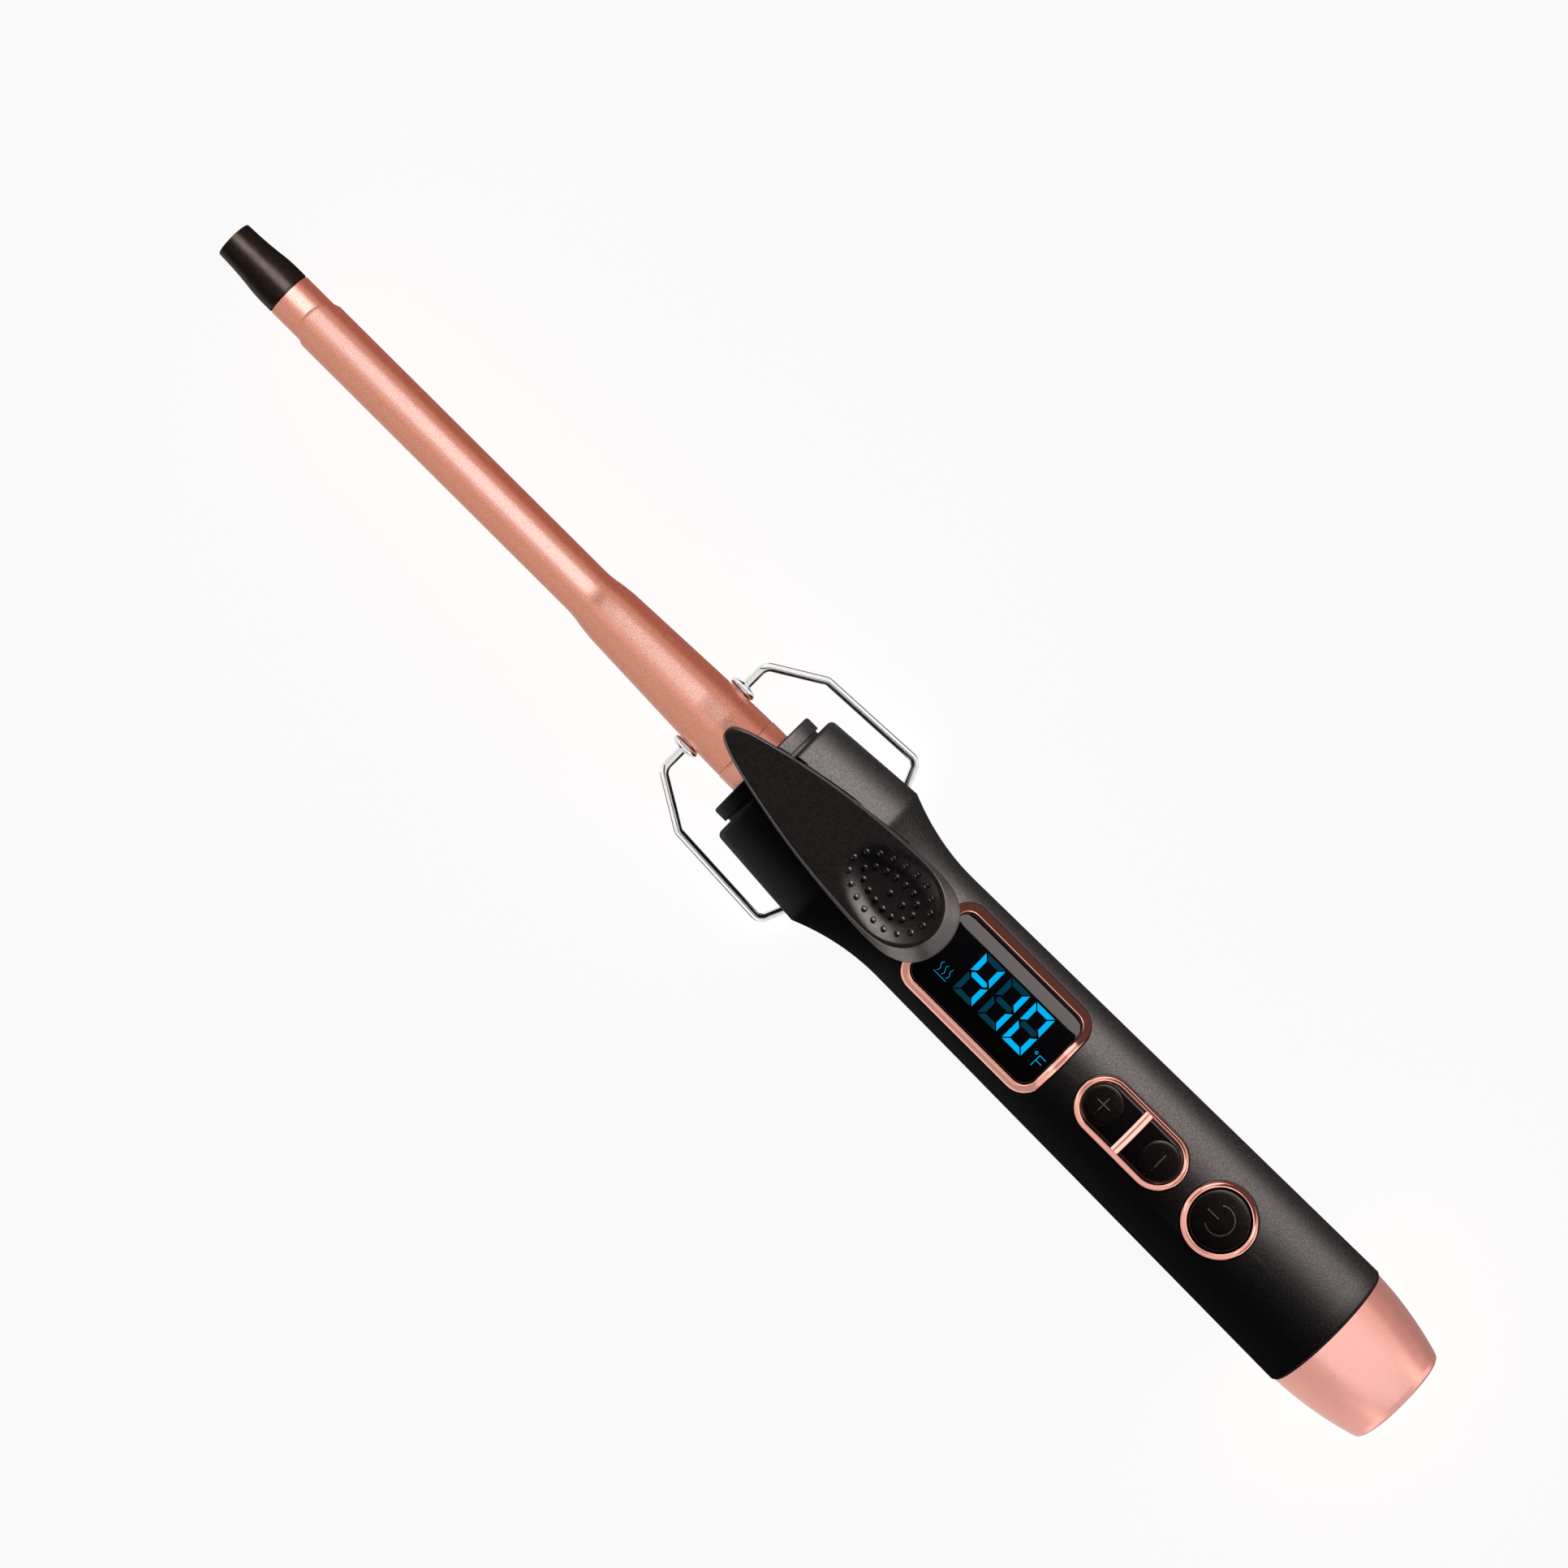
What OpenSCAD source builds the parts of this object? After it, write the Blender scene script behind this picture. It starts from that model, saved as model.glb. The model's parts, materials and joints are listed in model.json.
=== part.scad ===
// Curling iron: thin barrel, spring clamp with a thumb lever, folding wire stand,
// and a two-shell handle with a display, three buttons and a swivel cord inlet.
// Each sub-part is drawn along the X axis, with the tip's end at x = 0 and the
// barrel's axis at y = z = 0. on_table() then moves it to the row frame: +X to the
// cord end, +Z up through the display, origin under the middle of the box.

/* [Barrel] */
// Diameter of the heated barrel
barrel_d = 9.6; // [9.4:0.1:9.6]
// Wall thickness of the barrel tube
barrel_wall = 0.8; // [0.6:0.1:1]
// Length of the cool tip outside the barrel
tip_l = 15.2; // [12:0.1:18]
// Radius of the cool tip's end face
tip_end_r = 3.95; // [3.6:0.05:4.2]
// Distance from the tip's end to the handle's collar
reach = 143.3; // [140:0.1:146]

/* [Clamp] */
// Thickness of the clamp's sheet
sheet = 0.4; // [0.3:0.05:0.4]
// Distance from the tip's end to the clamp's nose
clamp_nose_x = 20.8; // [19:0.1:24]
// Distance from the tip's end to the start of the clamp's flare
flare_x = 96.5; // [90:0.5:100]
// Distance from the collar forward to the pivot
pivot_back = 12.6; // [12.4:0.1:12.8]

/* [Thumb lever] */
// Length of the lever in plan
lever_l = 57.9; // [54:0.1:60]
// Half-width of the lever at the thumb end
lever_w = 9.3; // [8.6:0.1:9.5]
// Angle that the lever and clamp turn through when pressed
press_deg = 12; // [8:1:12]

/* [Stand] */
// Diameter of the stand's wire
wire_d = 1.9; // [1.6:0.1:1.9]
// Length of the stand from its pivot to its foot
stand_l = 43; // [41:0.5:45]
// Half of the stand's overall width at the wire's centreline
stand_w = 21.9; // [21:0.1:23]

/* [Handle] */
// Length of the black handle shells
handle_l = 150; // [148:1:154]
// Radius at the front edge of the handle
front_r = 15.6; // [15.2:0.1:16]
// Radius at the guard's ridge
ridge_r = 17.15; // [16.8:0.05:17.5]
// Radius at the waist behind the guard
waist_r = 13.25; // [13.1:0.05:13.4]
// Radius at the rear end of the shells
rear_r = 14.55; // [14.4:0.05:14.8]
// Wall thickness of the shells
wall = 1.8; // [1.6:0.1:2]
// Length of the end cap
cap_l = 19.2; // [19:0.1:20]

/* [Controls] */
// Length of the display's bezel along the handle
bezel_l = 35.8; // [34:0.1:36]
// Width of the display's bezel
bezel_w = 21; // [20:0.1:21]
// Width of the bezel's band
band = 1.9; // [1.5:0.05:1.95]
// Radius of the plus and minus buttons
key_r = 4.1; // [3.9:0.05:4.15]
// Radius of the power button
power_r = 6; // [5.5:0.1:6]
// Travel of each button
travel = 0.6; // [0.3:0.1:0.6]
// Radius of the swivel's bore for the cord
cord_r = 2.6; // [2.4:0.1:2.8]

/* [Hidden] */
$fn = 48;
eps = 0.01;
run = 0.05;   // radial clearance of a running fit
gap = 0.1;    // clearance round a fixed insert
far = 60;     // longer than any cut needs

// Stations along the axis
barrel_r = barrel_d / 2;
bore_r = barrel_r - barrel_wall;
pivot_x = reach - pivot_back;
front_x = reach + 3.7;              // the handle's front face, behind the collar
ridge_x = front_x + 21.75;
waist_x = ridge_x + 18.75;
rear_x = front_x + handle_l;
end_x = rear_x + cap_l + 0.1;
overall_l = end_x;
fold = asin((ridge_r + wire_d / 2 + 0.3) / stand_l);   // angle of the folded stand
axis_h = stand_l * sin(fold) + wire_d / 2;              // the foot touches the table

// Clamp sections: [x, half-width, height of the top above the axis]
clamp_r = barrel_r + run + sheet;
under_slope = 17;                   // slope of the lever's underside
function lever_under(u) = 10.3 + (u - 3.6) * tan(under_slope);
clamp_sections = [
    [flare_x, clamp_r, clamp_r],
    [flare_x + 6.5, 6.05, 6.2],
    [pivot_x - 3.7, 6.98, 8.8],
    [pivot_x + 2, 7.12, lever_under(2) - eps],
    [pivot_x + 8.4, 7.25, lever_under(8.4) - eps],
];
clamp_rear_r = 8.4;                 // rear edge of the clamp's sides, about the pivot
clamp_step_z = 5.6;                 // the sides reach straight back above this height
base_r = 6.2;
skirt_r = 7.35;
eyelet_r = 2;
eyelet_y = 7.2;

// Controls, as distances along the axis
bezel_x = rear_x - 90.35;
plus_x = rear_x - 61.8;
minus_x = rear_x - 46.6;
power_x = rear_x - 30.6;
keys_x = (plus_x + minus_x) / 2;
keys_l = 26.3;
keys_w = 12.1;
keys_band = 1.3;
power_ring_r = power_r + 1.6;
board_top = 5.6;
board_bottom = 4;
board_x0 = bezel_x - 19.3;
board_x1 = power_x + 13;

// Radius of the handle at x, from its front face to the rear of the shells
function handle_r(x) =
    x < ridge_x ? front_r + (ridge_r - front_r) * (x - front_x) / (ridge_x - front_x) :
    x < waist_x ? waist_r + (ridge_r - waist_r) * pow((waist_x - x) / (waist_x - ridge_x), 2) :
    waist_r + (rear_r - waist_r) * (x - waist_x) / (rear_x - waist_x);
function ring_arc(x, y, r, from, to, n = 6) =
    [for (i = [0:n]) let (a = from + (to - from) * i / n) [y + r * sin(a), x + r * cos(a)]];
function unit(v) = v / norm(v);

// Moves a sub-part from the barrel's axis to the row frame
module on_table() {
    translate([-overall_l / 2, 0, axis_h]) children();
}

// Turns [radius, x] points about the barrel's axis
module turned(points) {
    rotate([0, 90, 0]) rotate_extrude() polygon(points);
}

// A cylinder along X
module rod(x0, x1, r) {
    translate([x0, 0, 0]) rotate([0, 90, 0]) cylinder(h = x1 - x0, r = r);
}

// A tube along X
module tube(x0, x1, r_out, r_in) {
    difference() {
        rod(x0, x1, r_out);
        rod(x0 - 1, x1 + 1, r_in);
    }
}

// A cylinder along Y, from y0 to y1
module cross_rod(x, z, y0, y1, r) {
    translate([x, y0, z]) rotate([-90, 0, 0]) cylinder(h = y1 - y0, r = r);
}

// A box given by its two corners
module block(low, high) {
    translate(low) cube(high - low);
}

// A plan outline with round corners, centred on x
module round_rect(x, length, width, r) {
    translate([x, 0]) hull() for (sx = [-1, 1], sy = [-1, 1])
        translate([sx * (length / 2 - r), sy * (width / 2 - r)]) circle(r);
}

// The same outline built as a union, so that its round corners stay true arcs
module true_round_rect(x, length, width, r) {
    translate([x, 0]) {
        square([length, width - 2 * r], center = true);
        square([length - 2 * r, width], center = true);
        for (sx = [-1, 1], sy = [-1, 1])
            translate([sx * (length / 2 - r), sy * (width / 2 - r)]) circle(r);
    }
}

// The part of a curved skin between two radii that lies over a plan outline
module skin(x0, x1, grow_in, grow_out) {
    intersection() {
        turned([
            [handle_r(x0) + grow_in, x0], [handle_r(x1) + grow_in, x1],
            [handle_r(x1) + grow_out, x1], [handle_r(x0) + grow_out, x0]
        ]);
        translate([0, 0, 2]) linear_extrude(20) children();
    }
}

// A round tube swept along a smooth curve through the points
function curve_point(p, i, t) =
    let (
        n = len(p) - 1,
        a = p[max(i - 1, 0)], b = p[i], c = p[min(i + 1, n)], d = p[min(i + 2, n)]
    )
    0.5 * (2 * b + (c - a) * t + (2 * a - 5 * b + 4 * c - d) * t * t
        + (3 * b - a - 3 * c + d) * t * t * t);
function smooth(p, steps) = concat(
    [for (i = [0:len(p) - 2], j = [0:steps - 1]) curve_point(p, i, j / steps)],
    [p[len(p) - 1]]
);
module swept(points, r, sides = 8, steps = 4) {
    path = smooth(points, steps);
    last = len(path) - 1;
    up = [0.123, 0.31, 0.94];
    rings = [for (i = [0:last])
        let (
            along = unit(path[min(i + 1, last)] - path[max(i - 1, 0)]),
            side = unit(cross(up, along)),
            rise = cross(along, side)
        )
        for (k = [0:sides - 1]) let (a = 360 * k / sides) path[i] + r * (side * cos(a) + rise * sin(a))];
    walls = [for (i = [0:last - 1], k = [0:sides - 1])
        let (a = i * sides + k, b = i * sides + (k + 1) % sides)
        [a, a + sides, b + sides, b]];
    ends = [[for (k = [0:sides - 1]) k], [for (k = [sides - 1:-1:0]) last * sides + k]];
    polyhedron(rings, concat(walls, ends));
}

// ---------- Barrel ----------

module cool_tip() {
    edge = 0.3;
    color("#1d1a19") union() {
        turned([
            [0, 0], [tip_end_r - edge, 0], [tip_end_r, edge], [tip_end_r + 0.15, 0.26 * tip_l],
            [tip_end_r + 0.55, 0.5 * tip_l], [barrel_r - 0.03, 0.76 * tip_l],
            [barrel_r, tip_l], [0, tip_l]
        ]);
        rod(tip_l - 1, tip_l + 6, bore_r - run);
    }
}

module barrel_tube() {
    color("#d98c77") tube(tip_l, front_x + 11, barrel_r, bore_r);
}

// The fixed sleeve that carries the pivots and runs back through the collar
module barrel_base() {
    color("#d08672") difference() {
        union() {
            rod(pivot_x - 6.5, pivot_x + clamp_rear_r, base_r);
            difference() {
                rod(pivot_x + 4, front_x + 5, skirt_r);
                cross_rod(pivot_x, 0, -far, far, clamp_rear_r + 0.25);
            }
        }
        rod(0, far * 4, barrel_r + 0.02);
        cross_rod(pivot_x, 0, -far, far, eyelet_r + 0.02);
        block([pivot_x - 4.5, -far, base_r - 0.4], [pivot_x + 6.5, far, far]);
    }
}

// The hollow rivets that the clamp and the stand turn on
module pivot_eyelets() {
    color("#c9ccd0") for (side = [-1, 1]) translate([pivot_x, 0, 0]) rotate([-90 * side, 0, 0])
        rotate_extrude() polygon([
            [wire_d / 2 + run, barrel_r + 0.1], [eyelet_r, barrel_r + 0.1], [eyelet_r, eyelet_y],
            [2.3, eyelet_y], [2.75, eyelet_y + 0.25], [2.95, eyelet_y + 0.65],
            [2.85, eyelet_y + 1.1], [2.45, eyelet_y + 1.5], [1.9, eyelet_y + 1.7],
            [wire_d / 2 + run, eyelet_y + 1.7]
        ]);
}

heater_x0 = 30;
heater_x1 = 112;
plate_t = 1.3;
plate_w = 6.2;
bead_x = 84;

module heater_plate() {
    color("#f1efe9")
        block([heater_x0, -plate_w / 2, -plate_t / 2], [heater_x1, plate_w / 2, plate_t / 2]);
}

// One of the two half-round bars that press the heater against the barrel's wall
module spreader(up) {
    color("#b9bcc0") mirror([0, 0, up ? 0 : 1]) difference() {
        rod(heater_x0 - 2, heater_x1 - 6, bore_r - run);
        block([0, -far, -far], [far * 4, far, plate_t / 2 + 0.02]);
        if (up) bead_groove();
    }
}

// Room for the thermistor's bead and its two leads
module bead_groove() {
    block([bead_x - 2.2, -1, 2.2], [bead_x + far, 1, far]);
}

module spreader_upper() spreader(true);
module spreader_lower() spreader(false);

module thermistor() {
    color("#7fa37a") hull() {
        translate([bead_x - 1, 0, 3.1]) sphere(0.75, $fn = 20);
        translate([bead_x + 1, 0, 3.1]) sphere(0.75, $fn = 20);
    }
}

module heater_leads() {
    color("#e8e4da") for (side = [-1, 1])
        swept([
            [heater_x1 + 0.2, side * 1.9, 0], [125, side * 1.9, 0], [145, side * 1.9, 0],
            [158, side * 1.9, 0], [164, side * 2.6, -0.4], [171, side * 5, -1],
            [178, side * 6.6, 0], [183, side * 6.6, 2], [186.5, side * 6.4, 3.4]
        ], 0.75);
}

module thermistor_leads() {
    color("#d9c24c") for (side = [-1, 1])
        swept([
            [bead_x + 2.3, side * 0.42, 3.1], [100, side * 0.42, 3.1], [130, side * 0.42, 3.1],
            [158, side * 0.42, 3.1], [165, side * 1, 2.4], [173, side * 2.2, 1],
            [180, side * 2.8, 1.4], [186.5, side * 2.8, 3.4]
        ], 0.35);
}

// ---------- Clamp and lever ----------

// Plan outline of the clamp's straight part, with its rounded nose
module nose_outline(r) {
    nose = 3.6;
    polygon(concat(
        [for (a = [90:6:270]) [clamp_nose_x + nose + nose * cos(a), (r + 0.1) * sin(a)]],
        [[flare_x, -r - 0.1], [flare_x, r + 0.1]]
    ));
}

// Half-width and height of the clamp's arch at x
function clamp_w(x) = lookup(x, [for (c = clamp_sections) [c[0], c[1]]]);
function clamp_h(x) = lookup(x, [for (c = clamp_sections) [c[0], c[2]]]);

// Lower edge of the sides at x: level with the axis, with a round ear at the pivot
ear_r = 3.5;
function clamp_foot(x) = abs(x - pivot_x) >= ear_r ? 0 : -sqrt(ear_r * ear_r - pow(x - pivot_x, 2));

// One arch of the sheet in the plane x: its outer face, then its inner face
arch_n = 16;
function arch(x, inset) =
    let (w = clamp_w(x) - inset, top = clamp_h(x) - inset, foot = clamp_foot(x), rise = max(top - w, 0))
    concat(
        [[x, w, foot]],
        [for (i = [0:arch_n]) let (a = 180 * i / arch_n)
            [x, w * cos(a), rise + (top - rise) * sin(a) + eps]],
        [[x, -w, foot]]
    );

// The whole sheet from before the nose to behind the pivot
module clamp_sheet() {
    xs = concat(
        [clamp_nose_x - 1, flare_x, flare_x + 3.5, flare_x + 7],
        [for (i = [1:4]) flare_x + 7 + (pivot_x - ear_r - flare_x - 7) * i / 4],
        [for (a = [165:-15:15]) pivot_x + ear_r * cos(a)],
        [pivot_x + ear_r, pivot_x + 6, pivot_x + clamp_rear_r, pivot_x + clamp_rear_r + 1]
    );
    rings = [for (x = xs) concat(arch(x, 0), [for (i = [arch_n + 2:-1:0]) arch(x, sheet)[i]])];
    n = len(rings[0]);
    last = len(xs) - 1;
    skin = [for (i = [0:last - 1], k = [0:n - 1])
        let (a = i * n + k, b = i * n + (k + 1) % n)
        each [[a, a + n, b + n], [a, b + n, b]]];
    half = n / 2;
    front = [for (k = [0:half - 2]) each [[k, k + 1, n - 2 - k], [k, n - 2 - k, n - 1 - k]]];
    back = [for (f = front) [f[0] + last * n, f[2] + last * n, f[1] + last * n]];
    polyhedron([for (r = rings) each r], concat(skin, front, back));
}

module clamp() {
    color("#dd917b") difference() {
        clamp_sheet();
        difference() {
            block([clamp_nose_x - 2, -far, -far], [flare_x - 20, far, far]);
            translate([0, 0, -far]) linear_extrude(2 * far) nose_outline(clamp_r);
        }
        difference() {
            block([pivot_x + 1, -far, -far], [pivot_x + far, far, clamp_step_z]);
            cross_rod(pivot_x, 0, -far, far, clamp_rear_r);
        }
        block([pivot_x + clamp_rear_r, -far, 0], [pivot_x + far, far, far]);
        cross_rod(pivot_x, 0, -far, far, eyelet_r + run);
        for (u = rivet_us) on_under(u) translate([0, 0, -2]) cylinder(h = 4, r = rivet_r + gap);
    }
}

module clamp_spring() {
    t = 0.35;
    w = 2.6;
    foot = base_r - 0.4;
    color("#9aa0a6") translate([pivot_x, w / 2, 0]) rotate([90, 0, 0]) linear_extrude(w) polygon([
        [6.2, foot + 0.02], [6.2, foot + 0.02 + t], [-2.6, foot + 0.02 + t], [-3.2, foot + 0.8],
        [-2.9, foot + 1.1], [7, lever_under(7) - 1.75], [7, lever_under(7) - 1.35],
        [6.4, lever_under(6.4) - 1.35], [-3.1, foot + 1.5], [-3.7, foot + 0.8],
        [-2.8, foot + 0.02]
    ]);
}

arm_t = 1;
arm_w = 6.4;
rivet_us = [5.4, 7.2];
rivet_r = 0.6;
arm_l = 34;
screw_us = [14, 28];

// Places children on the lever's underside, u from the pivot, with Z square to it
module on_under(u) {
    translate([pivot_x + u, 0, lever_under(u)]) rotate([0, -under_slope, 0]) children();
}

module lever_arm() {
    color("#8f9499") difference() {
        intersection() {
            on_under(4.2) block([0, -arm_w / 2, 0], [arm_l - 4.2, arm_w / 2, arm_t]);
            translate([pivot_x, 0, 0]) linear_extrude(far) lever_outline(0.9);
        }
        for (u = rivet_us) on_under(u) translate([0, 0, -2]) cylinder(h = 4, r = rivet_r + gap);
        for (u = screw_us) on_under(u) translate([0, 0, -1]) cylinder(h = 4, r = 1.1);
    }
}

module arm_rivets() {
    color("#a8adb2") for (u = rivet_us) on_under(u) {
        translate([0, 0, -0.6]) cylinder(h = arm_t + 0.5, r = rivet_r);
        translate([0, 0, -0.8]) cylinder(h = 0.3, r = rivet_r + 0.2);
    }
}

// Plan outline of the lever: a narrow nose that widens to a round thumb end
module lever_outline(inset = 0) {
    end_r = lever_w - inset;
    hull() {
        translate([5.8 + inset, 0]) circle(2.4 - inset * 0.5, $fn = 32);
        translate([17, 0]) circle(5.45 - inset, $fn = 32);
        translate([33, 0]) circle(8.05 - inset, $fn = 32);
        translate([3.6 + lever_l - lever_w - inset * 2.2, 0]) circle(end_r, $fn = 48);
    }
}

lever_top_slope = 19.5;
function lever_top(u) = 12.5 + (u - 3.6) * tan(lever_top_slope);

// A thin slice of the lever's plan outline lying on a sloping plane
module sloped_slice(slope, z0, inset) {
    intersection() {
        linear_extrude(far) lever_outline(inset);
        translate([3.6, 0, z0]) rotate([0, -slope, 0])
            translate([-10, -far / 2, -0.02]) cube([far * 2, far, 0.02]);
    }
}

// The lever's outer form, in a frame with its origin on the pivot's axis
module lever_form() {
    hull() {
        sloped_slice(under_slope, 10.32, 0);
        sloped_slice(lever_top_slope, 12.5, 1);
    }
}

dish_r = 22;
dish_u = 48;
dish_depth = 1.4;

module lever() {
    color("#232021") difference() {
        translate([pivot_x, 0, 0]) lever_form();
        // the seat of the metal arm
        intersection() {
            on_under(3)
                block([-far, -arm_w / 2 - gap, -1], [arm_l - 2.8, arm_w / 2 + gap, arm_t + 0.02]);
            translate([pivot_x, 0, 0]) linear_extrude(far) lever_outline(0.8);
        }
        for (u = screw_us) on_under(u) cylinder(h = 2, r = 0.8 + run);
        for (u = rivet_us) on_under(u) cylinder(h = arm_t + 0.2, r = rivet_r + gap);
        // the thumb's dish
        translate([pivot_x + dish_u, 0, lever_top(dish_u)]) rotate([0, -lever_top_slope, 0])
            translate([0, 0, dish_r - dish_depth]) sphere(dish_r, $fn = 96);
    }
}

module lever_screws() {
    color("#83888d") for (u = screw_us) on_under(u) {
        cylinder(h = 1.9, r = 0.8);
        translate([0, 0, -0.8]) cylinder(h = 0.8 - eps, r = 1.6);
        translate([0, 0, -0.4]) cylinder(h = 0.8, r = 0.7);
    }
}

// ---------- Stand ----------

// Corners of half of the stand in its own plane: [along the arm, outwards]
stand_corners = [
    [0, 5.3], [0, 14], [stand_l * 0.27, 20.5], [stand_l * 0.87, stand_w], [stand_l, 10],
];
bend_r = 2.4;
bend_n = 5;
wire_sides = 16;
pin_l = 6.5;   // straight round end of the wire, which turns in the eyelet
function heading(a, b) = atan2(b[1] - a[1], b[0] - a[0]);
function wrapped(t) = t > 180 ? t - 360 : t < -180 ? t + 360 : t;

// Stations of a bend at corner i: [x, y, heading]
function bend(p, i) =
    let (
        a = heading(p[i - 1], p[i]),
        t = wrapped(heading(p[i], p[i + 1]) - a),
        side = t > 0 ? 1 : -1,
        start = p[i] - bend_r * tan(abs(t) / 2) * [cos(a), sin(a)],
        centre = start + side * bend_r * [-sin(a), cos(a)]
    )
    [for (j = [0:bend_n]) let (h = a + t * j / bend_n)
        [centre[0] + side * bend_r * sin(h), centre[1] - side * bend_r * cos(h), h]];

module stand_wire() {
    r = wire_d / 2;
    half = stand_corners;
    all = concat(half, [for (i = [len(half) - 1:-1:0]) [half[i][0], -half[i][1]]]);
    y0 = half[0][1] + pin_l - 0.6;
    path = concat([[0, y0, 90]], [for (i = [1:len(all) - 2]) each bend(all, i)], [[0, -y0, 90]]);
    last = len(path) - 1;
    points = [for (s = path, k = [0:wire_sides - 1])
        let (a = 360 * (k + 0.5) / wire_sides, out = (r - 0.01) * cos(a))
        [s[0] - out * sin(s[2]), s[1] + out * cos(s[2]), (r - 0.01) * sin(a)]];
    walls = [for (i = [0:last - 1], k = [0:wire_sides - 1])
        let (m = i * wire_sides + k, n = i * wire_sides + (k + 1) % wire_sides)
        [m, m + wire_sides, n + wire_sides, n]];
    ends = [[for (k = [0:wire_sides - 1]) k],
        [for (k = [wire_sides - 1:-1:0]) last * wire_sides + k]];
    color("#c4c7cb") translate([pivot_x, 0, 0]) rotate([0, fold, 0]) {
        polyhedron(points, concat(walls, ends));
        for (side = [-1, 1]) cross_rod(0, 0, min(side * 5.3, side * (5.3 + pin_l)),
            max(side * 5.3, side * (5.3 + pin_l)), r);
    }
}

// ---------- Handle ----------

// The room that the lever and its arm sweep in the handle's top as they are pressed
module lever_room() {
    for (a = [0, press_deg / 2, press_deg]) rotate_about_pivot(a)
        translate([pivot_x, 0, -0.5]) intersection() {
            linear_extrude(far) lever_outline(-0.5);
            translate([3.6, 0, 10.3]) rotate([0, -under_slope, 0])
                translate([-10, -far / 2, 0]) cube([far * 2, far, far]);
        }
    // the heads of the screws under the arm
    for (u = screw_us) rotate_about_pivot(press_deg)
        on_under(u) translate([0, 0, -1.5]) cylinder(h = 4, r = 2.1);
}

module rotate_about_pivot(a) {
    translate([pivot_x, 0, 0]) rotate([0, a, 0]) translate([-pivot_x, 0, 0]) children();
}

collar_r = 12.65;
spigot_r = 11;

module collar() {
    edge = 0.5;
    color("#2a2627") difference() {
        turned([
            [skirt_r + gap, reach], [collar_r - edge, reach], [collar_r, reach + edge],
            [collar_r, front_x - 0.02], [spigot_r, front_x - 0.02], [spigot_r, front_x + 3.4],
            [skirt_r + gap, front_x + 3.4]
        ]);
        lever_room();
    }
}

module barrel_holder() {
    color("#6b5a48") difference() {
        rod(front_x + 5.2, front_x + 9.6, 13.8);
        block([0, -far, 8.1], [far * 4, far, far]);
        rod(0, far * 4, barrel_r + 0.02);
    }
}

// Outer and inner profiles of the two shells together: [radius, x]
corner = 1.2;
spigot2_r = 12;
outer_profile = concat(
    [[0, front_x], [front_r - corner, front_x]],
    ring_arc(front_x + corner, handle_r(front_x + corner) - corner, corner, 180, 90),
    [for (i = [0:12]) let (x = ridge_x + (waist_x - ridge_x) * i / 12) [handle_r(x), x]],
    ring_arc(rear_x - 0.6, rear_r - 0.6, 0.6, 90, 0, 3),
    [[spigot2_r, rear_x], [spigot2_r, rear_x + 6], [0, rear_x + 6]]
);
inner_profile = concat(
    [[0, front_x - 1], [spigot_r + gap, front_x - 1], [spigot_r + gap, front_x + wall],
        [front_r - wall, front_x + wall]],
    [for (i = [0:12]) let (x = ridge_x + (waist_x - ridge_x) * i / 12) [handle_r(x) - wall, x]],
    [[rear_r - wall - 0.3, rear_x - 4], [spigot2_r - 2.8, rear_x - 1],
        [spigot2_r - 2.8, rear_x + 7], [0, rear_x + 7]]
);

module half_shell(up) {
    difference() {
        turned(outer_profile);
        turned(inner_profile);
        mirror([0, 0, up ? 1 : 0]) block([front_x - 5, -far, 0], [rear_x + 10, far, far]);
    }
}

screw_posts = [[front_x + 14, 10], [front_x + 14, -10], [rear_x - 12, 0]];
seat_z = -6;

module upper_posts() {
    for (p = screw_posts) intersection() {
        translate([p[0], p[1], 0.02]) cylinder(h = far, r = 3);
        turned(inner_fill);
        block([0, -far, -1], [far * 6, far, p[1] == 0 ? far : 9]);
    }
}

// A solid of the inner space, a little inside the shells' outer face
inner_fill = [
    [0, front_x + 1], [front_r - 0.6, front_x + 1], [ridge_r - 0.6, ridge_x],
    [waist_r - 0.6, waist_x], [rear_r - 0.6, rear_x - 1], [0, rear_x - 1]
];

module upper_shell() {
    color("#2a2627") difference() {
        union() {
            half_shell(true);
            // the closed floor under the lever's recess
            intersection() {
                turned(inner_fill);
                translate([pivot_x, 0, 0]) rotate([0, press_deg - under_slope, 0])
                    block([0, -9.6, 6.6], [64, 9.6, 14]);
                block([front_x + 3.5, -9.6, 0], [ridge_x + 15, 9.6, far]);
            }
            upper_posts();
        }
        lever_room();
        linear_extrude(far) round_rect(bezel_x, bezel_l + 2 * gap, bezel_w + 2 * gap, 4.6);
        linear_extrude(far) keys_outline(-gap);
        translate([power_x, 0, 0]) cylinder(h = far, r = power_ring_r + gap);
        for (p = screw_posts) translate([p[0], p[1], -1]) cylinder(h = 7.5, r = 1.25);
    }
}

// A thin wall across the lower shell that carries the circuit board
module board_rib(x) {
    intersection() {
        block([x, -far, -far], [x + 1.4, far, board_bottom - 0.02]);
        turned(inner_fill);
        difference() {
            block([0, -far, -far], [far * 6, far, far]);
            block([0, -8.2, -5], [far * 6, 8.2, far]);
        }
    }
}

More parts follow.
